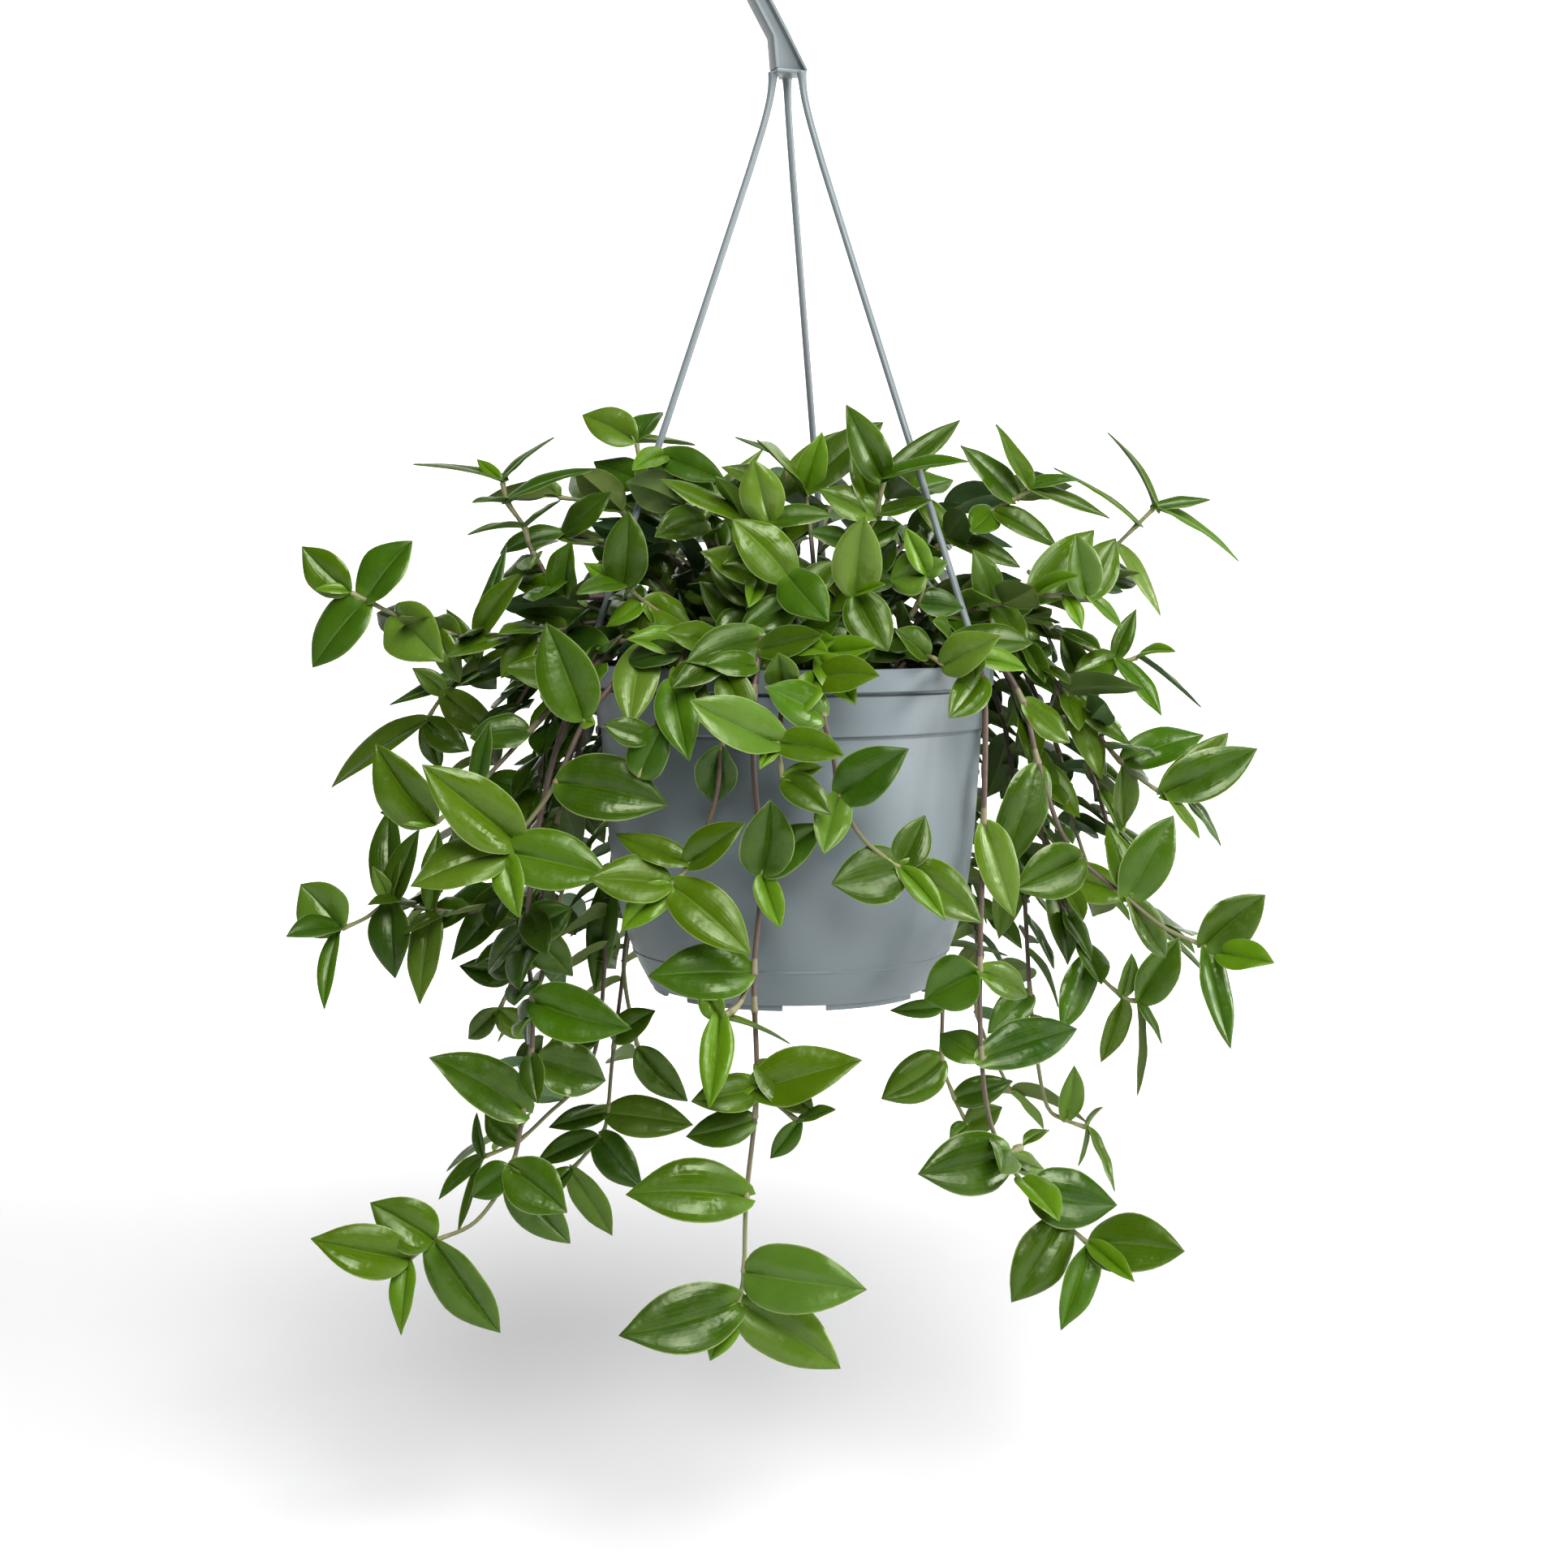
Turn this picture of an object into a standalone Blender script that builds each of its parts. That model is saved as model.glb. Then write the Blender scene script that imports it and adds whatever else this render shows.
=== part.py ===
"""Trailing tradescantia in a hanging pot: a moulded pot, its soil, its hanger and the leafy stems.

Lengths are millimetres from the middle of the pot's rim, X to the right, Y away from the front and Z up.
Meshes are written in metres from the hook's seat, where a rail carries the hanger.
"""
import math
import random

import bmesh
import bpy
from mathutils import Matrix, Vector
from mathutils.bvhtree import BVHTree

METRES = 0.001
SEAT_ABOVE_RIM = 278.0
GAP = 0.3

# Pot
RIM_RADIUS = 75.0
BAND_HEIGHT = 8.0
WALL = 1.2
BASE = -119.2
FOOT_HEIGHT = 2.1
FOOT_INNER = 50.0
FOOT_OUTER = 53.0
POT_SIDES = 24
OUTSIDE = [
    (FOOT_OUTER, BASE), (57.4, -110.5), (61.0, -101.5), (64.0, -91.5), (66.4, -78.0), (68.4, -60.0),
    (70.6, -24.5),
    (71.9, -23.0), (73.4, -BAND_HEIGHT), (RIM_RADIUS, -BAND_HEIGHT), (RIM_RADIUS, 0.0),
]
INSIDE = [(72.6, 0.0), (70.7, -23.0), (67.0, -60.0), (62.4, -92.5), (55.6, -111.2), (51.4, BASE + WALL)]
FOOT_GAPS = 6
FOOT_GAP_WIDTH = 15.5
FOOT_TURN = 5.0
DRAIN_HOLES = 6
DRAIN_RADIUS = 3.5
DRAIN_CIRCLE = 36.0

# Soil
SOIL_TOP = -10.0
SOIL_GAP = 1.4 * GAP
HOLE_DEPTH = 12.0

# Hanger
HOOK_TURN = math.radians(20.0)
HOOK_RADIUS = 19.0
HOOK_CENTRE = 262.0
HOOK_DEPTH = 7.0
FLANGE = 1.2
WEB = 2.0
HEAD_BOTTOM = 214.3
# The arm from the head up: the middle across and up, and the width
ARM = [(-1.0, HEAD_BOTTOM, 12.4), (-5.4, 226.8, 6.2), (-13.0, 239.5, 6.2)]
CROOK_START = math.radians(207.0)
CROOK_END = math.radians(-28.0)
CROOK_STEPS = 10
CROOK_WIDTH = 6.2
CROOK_TAPER = 0.4
LIP = (1.5, -3.5, 4.4)
HUB_RADIUS = 5.8
HUB_TAPER = 0.86
HUB_BELOW = 1.6
HUB_ABOVE = 1.5
STRAND_WIDTH = 2.8
# Each strand's bearing at the rim, and how far its upper end is moved across
STRANDS = {"right": (60.0, 0.0), "back": (168.0, -1.6), "left": (-75.0, 0.0)}
STRAND_START = 4.6
STRAND_SLOPE = 0.352
STRAND_BEND = 1.9
CLIP_WIDTH = 4.6
CLIP_THICK = 1.5
CLIP_TOP = 3.0
BRIDGE_LENGTH = 5.7
TOE_LENGTH = 2.9
TOE = 1.6
# Keeps the faces of shapes that are fused from lying in one plane
STEP = 0.02
STRAND_END = RIM_RADIUS + GAP + CLIP_THICK / 2
STRAND_HEIGHTS = (HEAD_BOTTOM - 1.0, 205.0, 196.0, 184.0, 168.0, 90.0, 20.0, CLIP_TOP)
HEAD_OFFSET = Vector((-1.2, 0.0, 0.0))

# Stems and leaves
STEM_RADIUS = 2.0
STEM_END_RADIUS = 1.4
STEM_SIDES = 3
RIB_THICK = 1.2
LEAF_ARCH = 0.03
LEAF_FOLD = 0.16
LARGE_LEAF = 38.0
LARGE_STATIONS = ((0.20, 0.84), (0.44, 1.05), (0.74, 0.70))
SMALL_STATIONS = ((0.28, 0.98), (0.64, 0.87))
ROOT = 0.2
CLEAR = 0.45
STEM_SPACING = 42.0
FOOT_RISE = 3.0
FIXED_POINTS = 2
DEPTH_SPREAD = 11.0
OUTWARD_TURN = 0.003
SHOOT_RADIUS = 1.0
# A leaf whose facing lies this nearly along it takes its side from this direction instead
LEAST_SIDE = 0.15
OTHER_FACING = Vector((0.3, 0.2, 1.0))

# Stems that the front view hides: where they stand, how they run and what their leaves measure
DRAWS = 30
HIDDEN_SPACING = 30.0
FOOT_SWAY = 8.0
HANGING_FEET = (36.0, 56.0)
RISING_FEET = (8.0, 32.0)
SHOULDER = 64.0
OVER_RIM = 82.0
SHOULDER_CREST = 0.8
RIM_CREST = 0.75
HANGING_SWAY = 3.0
TIP_TURN = 10.0
TIP_SHARE = 0.8
RISING_SWAY = 5.0
RISE_START = 24.0
RISE_BEND = 1.3
HIDDEN_LENGTH = (29.0, 35.8)
HIDDEN_YOUNG_LENGTH = (20.0, 24.0)
HIDDEN_WIDTH = (0.46, 0.55)

# What is tried in turn where a stem or a leaf would cut something: moves in millimetres, turns of a leaf
# about its rib in degrees, and a leaf's size as a share of its full size
ROUTE_SHIFTS = [(0, 0, 0)] + [(x, y, z) for reach in (3, 6, 9) for y in (reach, -reach)
                              for x in (0, reach / 2, -reach / 2) for z in (0, 2, -2)]
LEAF_SIZES = (1.0, 0.88, 0.76)
LEAF_ROLLS = (0, 16, -16, 32, -32)
LEAF_SHIFTS = (0, 4, -4, 8, -8, 12, -12, 17, -17)

# The point the front view is drawn from, used to set a point that the view shows at its own depth
EYE = Vector((-2.7, -810.0, 27.4))
YOUNG = True

# Every leafy stem that the front view shows: its name, its foot in the soil (X, Y), the points that it
# passes (across and up as the front view shows them, and their own depth), and its leaves. A leaf is the
# number of the point that it grows from, its tip (across, up), how far the tip comes towards the viewer,
# its width, and how far its face turns from upwards (0) to the viewer (90).
FRONT_STEMS = [
    ("front_long", (-10, -42),
     [(-11, 10, -60), (-12, 4, -74), (-14, -14, -80), (-14, -40, -81), (-11, -79, -81), (-14, -117, -80),
      (-13, -161, -78), (-17, -203, -77), (-18, -232, -76), (-20, -244, -76)],
     [(2, -24, -4, 4, 9, 60), (4, -8, -51, 12, 19, 90), (4, 13, -60, 0, 15, 70),
      (4, -4, -100, 6, 10, 80, YOUNG), (5, -54, -118, 4, 20, 60), (6, 27, -150, 4, 20, 62),
      (6, -38, -166, 2, 14, 55), (7, -63, -202, 4, 22, 64), (8, 29, -239, 10, 23, 68),
      (9, -66, -257, 12, 23, 68),
      (9, 19, -270, 12, 21, 75), (9, -31, -267, 12, 11, 80, YOUNG)]),
    ("front_middle", (0, -50),
     [(-2, 8, -68), (-3, -8, -80), (-4, -22, -85), (-5, -30, -87), (-3, -43, -88)],
     [(3, -38, -14, 14, 19, 62), (3, 20, -35, 4, 13, 60), (4, 12, -39, 6, 7, 60, YOUNG),
      (4, 15, -57, 6, 11, 70), (3, -12, -40, 6, 6, 70, YOUNG), (1, -5, 4, 0, 12, 80)]),
    ("front_left_low", (-22, -46),
     [(-23, 6, -66), (-25, -8, -77), (-26, -32, -78), (-29, -54, -78), (-38, -75, -79), (-45, -83, -80)],
     [(2, -29, -53, 2, 15, 90), (4, -17, -60, 2, 14, 60), (4, -66, -64, 0, 11, 50),
      (5, -76, -81, 5, 18, 55), (5, -15, -110, 5, 18, 60), (5, -64, -101, 10, 12, 80, YOUNG)]),
    ("front_left_short", (-33, -40),
     [(-38, 6, -64), (-44, -8, -74), (-52, -28, -78), (-57, -43, -79)],
     [(1, -29, -4, 6, 12, 70), (1, -38, -37, 4, 15, 80), (3, -47, -22, 8, 14, 80),
      (2, -70, -23, -2, 10, 70)]),
    ("left_brown", (-44, -26),
     [(-54, 6, -56), (-63, -4, -64), (-77, -22, -68), (-88, -45, -70), (-97, -58, -71), (-104, -66, -72),
      (-107, -71, -73)],
     [(0, -60, -24, 10, 16, 80), (2, -91, 15, 6, 21, 75), (2, -73, -23, 8, 6, 70, YOUNG),
      (3, -46, -54, 10, 23, 68), (5, -138, -38, 6, 22, 60), (6, -143, -84, 8, 20, 55),
      (6, -68, -80, 10, 21, 65), (6, -102, -96, 12, 12, 85, YOUNG)]),
    ("left_front", (-50, -12),
     [(-64, 8, -30), (-80, -6, -42), (-98, -26, -50), (-117, -46, -54), (-133, -60, -56)],
     [(4, -155, -30, 6, 20, 70), (4, -154, -56, 6, 8, 60, YOUNG), (3, -124, -76, 0, 14, 60),
      (2, -120, -28, -4, 14, 60), (1, -107, -2, -4, 14, 60), (3, -112, -22, 4, 9, 60)]),
    ("left_arm", (-50, 0),
     [(-66, 14, -14), (-96, 10, -24), (-117, 9, -28), (-132, 12, -30), (-146, 17, -32), (-158, 23, -34),
      (-164, 26, -35)],
     [(6, -181, 43, 4, 15, 75), (5, -140, 45, 6, 19, 75), (5, -178, -2, 8, 19, 80),
      (6, -177, 27, 2, 5, 60, YOUNG), (4, -129, 0, 18, 22, 75), (1, -108, -6, -4, 12, 80),
      (2, -98, 34, 2, 11, 80), (3, -123, -8, -8, 10, 80), (2, -105, 44, 2, 7, 60),
      (0, -104, 19, 4, 10, 50)]),
    ("left_high", (-42, 4),
     [(-58, 22, -14), (-84, 25, -20), (-96, 41, -20), (-99, 50, -20), (-105, 59, -20), (-107, 67, -20)],
     [(5, -140, 73, 0, 12, 8), (5, -87, 83, 0, 11, 12), (4, -72, 71, 6, 13, 25),
      (5, -116, 75, 0, 5, 40, YOUNG), (4, -118, 59, 6, 8, 30), (3, -85, 60, 0, 9, 10),
      (3, -120, 47, 4, 9, 8), (2, -86, 45, -4, 9, 30), (1, -81, 45, 2, 15, 60)]),
    ("left_crown", (-34, 18),
     [(-46, 26, 14), (-58, 36, 12), (-70, 44, 8), (-84, 47, 6)],
     [(3, -66, 63, 0, 13, 60), (3, -108, 40, 0, 13, 40), (2, -92, 48, 8, 12, 30),
      (1, -76, 27, 8, 14, 60), (0, -62, 52, 0, 14, 60)]),
    ("left_bright", (-34, -14),
     [(-42, 12, -28), (-54, 22, -34), (-62, 29, -37)],
     [(2, -60, 56, 4, 16, 88), (2, -77, 37, 6, 7, 60, YOUNG), (2, -80, 25, 8, 10, 50),
      (1, -69, 13, 10, 9, 50, YOUNG), (1, -60, 4, 8, 13, 80), (1, -36, 12, 0, 13, 60)]),
    ("left_top", (-26, 14),
     [(-34, 30, 16), (-46, 52, 20), (-54, 66, 22), (-57, 81, 22)],
     [(3, -77, 91, 0, 16, 62), (3, -47, 92, -4, 12, 45), (3, -35, 80, -8, 10, 25),
      (2, -73, 74, 0, 14, 60), (2, -41, 71, 0, 10, 50), (1, -66, 60, 2, 15, 60),
      (1, -26, 58, 0, 14, 50)]),
    ("crown_left", (-16, 2),
     [(-22, 30, -2), (-32, 52, -6), (-42, 70, -10), (-47, 76, -12)],
     [(3, -24, 67, 8, 13, 60), (3, -58, 70, 6, 9, 50, YOUNG), (1, -10, 79, -8, 10, 30),
      (1, -50, 46, 6, 14, 60), (2, -27, 58, 10, 12, 60), (0, -40, 24, 8, 14, 60)]),
    ("crown_front_left", (-14, -24),
     [(-15, 16, -40), (-12, 30, -48), (-9, 44, -50), (-8, 52, -50)],
     [(3, -14, 75, 4, 15, 80), (1, -34, 41, 4, 13, 60), (2, -26, 36, 14, 11, 60), (0, -28, 7, 8, 15, 70),
      (1, -16, 20, 10, 8, 70, YOUNG), (3, 16, 54, 6, 10, 50)]),
    ("crown_front", (2, -36),
     [(2, 10, -50), (1, 22, -58), (-1, 32, -62)],
     [(2, -22, 53, 8, 17, 72), (2, 14, 15, 12, 16, 75), (0, -5, 3, 14, 14, 80), (1, 18, 38, -4, 12, 50),
      (1, -20, 10, 6, 13, 70)]),
    ("crown_front_right", (16, -38),
     [(20, 6, -50), (23, 16, -56), (24, 25, -60)],
     [(2, 27, 54, 4, 17, 85), (2, 36, 4, 12, 16, 75), (2, 35, 29, 8, 6, 60, YOUNG),
      (0, 22, -2, 14, 15, 80), (0, 44, 2, 0, 11, 60)]),
    ("crown_middle", (10, -8),
     [(15, 24, -16), (24, 42, -26), (31, 54, -32), (34, 67, -34)],
     [(3, 20, 95, 6, 14, 78), (3, 66, 74, 8, 11, 40), (3, 62, 89, -8, 10, 45), (2, 10, 64, 10, 13, 62),
      (2, 52, 60, 0, 9, 40), (1, 6, 48, 6, 11, 50), (2, 22, 80, -6, 10, 60)]),
    ("crown_back", (-4, 10),
     [(-5, 26, 4), (-5, 46, -2), (-3, 62, -6), (-1, 74, -6)],
     [(2, 22, 86, 6, 14, 50), (3, -21, 83, -2, 9, 20), (2, -26, 72, 0, 13, 40), (1, 14, 58, 4, 12, 60),
      (1, -30, 50, 0, 14, 60)]),
    ("right_inner", (32, -24),
     [(40, 10, -38), (47, 22, -44), (50, 33, -46)],
     [(2, 42, 50, 4, 9, 85, YOUNG), (2, 36, 30, 8, 16, 75), (2, 58, 37, 2, 8, 60),
      (1, 64, 20, 4, 12, 60), (0, 34, 6, 8, 12, 70)]),
    ("right_rim", (44, -34),
     [(50, 2, -54), (57, -1, -60)],
     [(1, 78, 10, 6, 15, 65), (0, 38, 12, 4, 12, 60)]),
    ("front_right", (10, -54),
     [(11, 6, -68), (10, -6, -79), (12, -20, -83), (16, -36, -84), (18, -50, -84), (27, -66, -83),
      (41, -77, -80)],
     [(2, -10, -9, 8, 15, 72), (1, 33, -5, 8, 14, 65), (4, 44, -32, 6, 18, 70), (4, 12, -72, 8, 13, 88),
      (6, 15, -83, 8, 20, 70), (6, 72, -98, 4, 17, 66), (6, 50, -57, 4, 13, 60),
      (6, 58, -97, 14, 9, 80, YOUNG)]),
    ("right_brown", (52, -8),
     [(66, 8, -16), (76, -2, -22), (85, -17, -28), (91, -40, -32), (99, -64, -34), (107, -76, -36),
      (125, -91, -42), (139, -102, -46), (154, -109, -48), (160, -112, -49)],
     [(3, 77, -80, 12, 17, 78), (5, 84, -85, 14, 20, 75), (8, 178, -87, 6, 18, 70),
      (8, 166, -146, 8, 12, 85), (9, 182, -113, 6, 14, 70, YOUNG), (2, 104, -30, 4, 12, 60),
      (6, 118, -60, -4, 13, 60), (6, 143, -57, 6, 18, 78), (6, 141, -111, -4, 13, 70)]),
    ("right_arm", (50, 4),
     [(66, 14, 4), (84, 8, 4), (104, -14, 0), (123, -37, -4), (139, -49, -8), (147, -51, -9)],
     [(4, 163, -26, 0, 13, 50), (4, 174, -32, 10, 19, 60), (3, 154, -27, -6, 14, 60),
      (5, 161, -69, 2, 9, 35), (4, 153, -66, 6, 8, 20), (3, 124, -62, -2, 12, 80),
      (2, 116, -44, 4, 13, 70), (1, 98, -12, 6, 12, 60), (2, 127, -31, 6, 9, 55)]),
    ("right_mid", (46, 18),
     [(60, 22, 20), (80, 20, 22), (100, 10, 20), (120, 1, 18), (129, 2, 17)],
     [(3, 138, -20, 8, 10, 60), (4, 143, 4, 4, 8, 60, YOUNG), (4, 153, -17, 0, 8, 8),
      (3, 128, 20, 0, 8, 20), (3, 105, -4, 6, 12, 65), (2, 114, -21, 8, 12, 80), (1, 92, 4, 4, 13, 60),
      (1, 101, 8, 4, 11, 60)]),
    ("right_high", (38, 26),
     [(56, 26, 32), (84, 22, 36), (112, 34, 34), (120, 43, 32), (128, 51, 30), (134, 57, 29)],
     [(5, 116, 85, 0, 10, 16), (4, 96, 72, -4, 10, 14), (5, 155, 60, 0, 9, 30), (5, 166, 37, 0, 12, 24),
      (3, 137, 17, 6, 11, 40), (2, 128, 29, 0, 13, 60)]),
    ("right_top", (28, 8),
     [(42, 30, 0), (58, 46, -6), (74, 56, -10), (82, 60, -11), (88, 64, -12)],
     [(3, 62, 80, 6, 13, 55), (4, 75, 88, 2, 10, 40), (4, 118, 53, 4, 11, 34), (4, 106, 67, 8, 8, 40),
      (2, 66, 48, 8, 12, 60), (2, 99, 42, 0, 12, 55), (1, 44, 64, 0, 11, 40), (1, 85, 35, 4, 10, 50)]),
    ("right_bright", (44, -12),
     [(58, 16, -18), (74, 21, -22), (90, 24, -26), (101, 25, -28), (109, 25, -29)],
     [(4, 105, 48, 4, 15, 82), (4, 120, 46, -8, 15, 70), (2, 107, 32, 8, 9, 60, YOUNG),
      (3, 108, 12, 8, 7, 70, YOUNG), (1, 67, 42, 2, 12, 80), (1, 88, 6, 6, 13, 60),
      (0, 66, 2, 6, 11, 70), (2, 112, 49, -8, 17, 72), (4, 123, 12, -4, 6, 60)]),
    ("right_low", (54, -24),
     [(60, 8, -44), (68, 2, -54), (72, -14, -57), (72, -60, -57), (71, -116, -55), (72, -150, -53),
      (75, -172, -52), (81, -187, -53), (91, -201, -55), (103, -212, -57), (113, -221, -58)],
     [(4, 50, -127, 4, 21, 72), (5, 56, -140, -6, 14, 60), (5, 108, -138, -4, 17, 60),
      (7, 48, -194, 6, 22, 68), (7, 96, -192, -6, 9, 70), (8, 124, -206, -6, 21, 66),
      (9, 84, -244, 6, 19, 75), (10, 150, -224, 6, 21, 62), (10, 103, -255, 8, 14, 85),
      (10, 131, -236, 12, 9, 80, YOUNG), (3, 84, -96, -4, 15, 70), (4, 89, -126, -6, 12, 70)]),
    ("right_hanging", (50, 14),
     [(66, 8, 8), (80, -6, 10), (90, -40, 8), (98, -82, 4), (112, -114, 0), (125, -128, -2),
      (131, -130, -3)],
     [(6, 146, -103, 4, 17, 75), (6, 140, -144, 2, 7, 10), (6, 131, -164, 2, 8, 6),
      (4, 102, -139, 6, 13, 70), (5, 117, -151, 4, 11, 65), (5, 128, -109, -4, 8, 60),
      (2, 108, -58, 4, 13, 70), (3, 128, -88, 4, 16, 80), (3, 104, -114, 4, 15, 75)]),
    ("right_tail", (46, 30),
     [(62, 6, 38), (78, -18, 42), (86, -70, 38), (90, -125, 32), (93, -150, 30), (97, -168, 30),
      (104, -173, 30), (112, -176, 30)],
     [(7, 123, -201, 2, 8, 12), (7, 118, -168, 2, 7, 15), (7, 109, -191, 0, 6, 8),
      (6, 107, -152, 4, 11, 70), (3, 74, -140, 4, 13, 70), (2, 104, -92, 0, 14, 70),
      (2, 78, -104, 2, 14, 75)]),
    ("right_behind", (34, 40),
     [(44, 6, 60), (52, -24, 68), (56, -80, 60), (57, -130, 50), (57, -150, 48), (62, -165, 46),
      (67, -175, 45)],
     [(4, 34, -165, 6, 18, 70), (3, 37, -131, 4, 8, 60), (6, 80, -168, 2, 12, 80),
      (6, 60, -181, 2, 8, 60), (5, 84, -158, 0, 12, 70)]),
    ("left_middle", (-50, 12),
     [(-66, 10, 14), (-84, -10, 16), (-96, -50, 10), (-104, -84, 6), (-118, -93, 2), (-134, -93, -2),
      (-150, -90, -4), (-160, -96, -6), (-169, -100, -6)],
     [(8, -184, -83, 2, 22, 72), (8, -190, -103, 6, 13, 55), (8, -176, -131, 4, 9, 60),
      (6, -149, -119, 6, 18, 85), (5, -140, -129, 6, 14, 85), (6, -157, -76, 0, 7, 20),
      (3, -128, -112, 6, 16, 65), (6, -150, -54, -6, 15, 80), (5, -132, -62, -4, 11, 80),
      (2, -116, -44, 4, 14, 70), (6, -139, -62, -4, 13, 75)]),
    ("left_low", (-48, -22),
     [(-62, 8, -36), (-73, -2, -40), (-84, -22, -42), (-94, -60, -42), (-99, -100, -40),
      (-97, -127, -38), (-98, -150, -36), (-101, -169, -36), (-106, -191, -38), (-119, -211, -40),
      (-135, -219, -42), (-145, -226, -43)],
     [(5, -60, -138, 10, 21, 66), (7, -137, -149, 4, 20, 50), (8, -85, -209, 8, 20, 66),
      (8, -121, -203, -6, 13, 70), (10, -160, -205, -6, 19, 60), (11, -183, -219, 6, 20, 60),
      (10, -111, -256, 8, 20, 80), (11, -149, -257, 10, 11, 80, YOUNG), (6, -70, -158, -6, 21, 66),
      (4, -82, -92, 0, 15, 70), (8, -84, -221, -4, 17, 70), (4, -82, -118, -4, 14, 70)]),
    ("left_tail", (-34, 36),
     [(-46, 8, 52), (-60, -20, 58), (-68, -84, 54), (-73, -143, 46), (-82, -163, 42), (-92, -173, 40),
      (-104, -184, 37), (-117, -190, 34)],
     [(6, -116, -170, 4, 12, 70), (7, -119, -170, 0, 6, 15), (7, -134, -204, 2, 8, 50),
      (7, -127, -217, 2, 7, 15), (3, -96, -150, 0, 13, 70), (2, -74, -124, 0, 13, 75)]),
    ("left_back_low", (-22, 46),
     [(-30, 6, 64), (-42, -24, 72), (-58, -84, 66), (-67, -143, 56), (-70, -172, 52), (-73, -181, 51),
      (-84, -194, 49)],
     [(4, -92, -176, 4, 11, 55), (5, -56, -200, 4, 16, 82), (6, -68, -218, 4, 13, 72),
      (6, -100, -206, 4, 10, 60), (4, -37, -175, 4, 17, 60),
      (5, -97, -190, 2, 12, 60), (3, -51, -131, 2, 13, 70)]),
    ("left_side", (-46, 26),
     [(-64, 4, 34), (-78, -20, 36), (-88, -60, 30), (-95, -94, 24), (-104, -117, 22), (-110, -131, 20)],
     [(5, -122, -142, 2, 10, 80), (4, -125, -114, 2, 13, 70), (5, -98, -142, 0, 12, 75),
      (3, -110, -117, 2, 10, 75), (2, -112, -78, 2, 14, 70), (1, -98, -44, 4, 14, 70),
      (3, -122, -84, -2, 12, 65)]),
    ("left_far", (-44, 40),
     [(-64, 10, 44), (-92, 4, 40), (-116, -3, 32), (-129, -12, 26), (-136, -22, 22)],
     [(4, -172, -47, 4, 14, 50), (2, -150, -16, 2, 10, 45), (4, -131, -40, 4, 10, 75),
      (3, -108, -28, 6, 14, 65), (2, -128, 20, 0, 9, 30), (1, -106, -18, 6, 12, 80),
      (2, -102, 34, 0, 10, 30), (4, -120, -33, 0, 12, 70), (1, -125, -9, 4, 13, 60),
      (3, -141, -2, 0, 9, 50)]),
]

# Side shoots: the stem, the number of the point that the shoot leaves, its points and its leaves.
SIDE_SHOOTS = [
    ("front_long", 6, [(-4, -168, -80), (3, -174, -82)],
     [(1, 17, -169, 2, 7, 40), (1, -8, -188, 4, 8, 80)]),
    ("front_long", 5, [(-20, -129, -84), (-27, -134, -86)],
     [(1, -34, -120, 4, 9, 80), (1, 0, -144, -4, 7, 5), (1, -31, -169, 6, 12, 85, YOUNG)]),
    ("right_low", 7, [(88, -183, -48)], [(0, 98, -177, -4, 6, 15)]),
    ("left_low", 3, [(-100, -66, -34)], [(0, -112, -86, 0, 12, 60)]),
    ("left_back_low", 2, [(-63, -114, 63), (-58, -145, 61)], [(1, -39, -166, 4, 15, 80)]),
]

# Stems that the front view hides. A hanging one is its bearing from the front, its crest above the rim, its
# reach from the axis and its drop below the rim; a rising one is its bearing, its reach and its height.
HANGING_STEMS = [
    (205, 22, 104, 98), (226, 30, 122, 96), (246, 16, 112, 186), (152, 26, 116, 92), (131, 14, 106, 176),
    (188, 34, 132, 70), (172, 12, 100, 96), (112, 24, 124, 90), (262, 26, 128, 84), (97, 24, 130, 96),
]
RISING_STEMS = [
    (180, 96, 56), (215, 112, 44), (148, 108, 48), (250, 92, 62), (118, 86, 62), (196, 52, 62),
    (155, 46, 64), (20, 14, 62), (78, 36, 60), (282, 40, 58), (332, 35, 52),
]
SEED = 41


def seen(across, up, depth):
    """The point at this depth that the front view shows at (across, up) in the plane of the axis."""
    flat = Vector((across, 0.0, up))
    return EYE + (flat - EYE) * ((depth - EYE.y) / -EYE.y)


def bearing_vector(degrees):
    """Level direction away from the axis; 0 points to the front and 90 to the right."""
    angle = math.radians(degrees)
    return Vector((math.sin(angle), -math.cos(angle), 0.0))


def smooth_point(points, place):
    """A point on the smooth curve through the points; place 2.5 is half way from point 2 to point 3."""
    last = len(points) - 1
    number = min(int(place), last - 1)
    part = place - number
    before = points[max(number - 1, 0)]
    start, end = points[number], points[number + 1]
    after = points[min(number + 2, last)]
    square, cube = part * part, part ** 3
    return 0.5 * (2 * start + (end - before) * part + (2 * before - 5 * start + 4 * end - after) * square
                  + (3 * start - before - 3 * end + after) * cube)


def curve_through(points, spacing):
    """The smooth curve's points, with more between any two that lie further apart than the spacing."""
    result = []
    for number in range(len(points) - 1):
        pieces = max(1, math.ceil((points[number + 1] - points[number]).length / spacing))
        result += [smooth_point(points, number + step / pieces) for step in range(pieces)]
    return result + [points[-1]]


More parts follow.
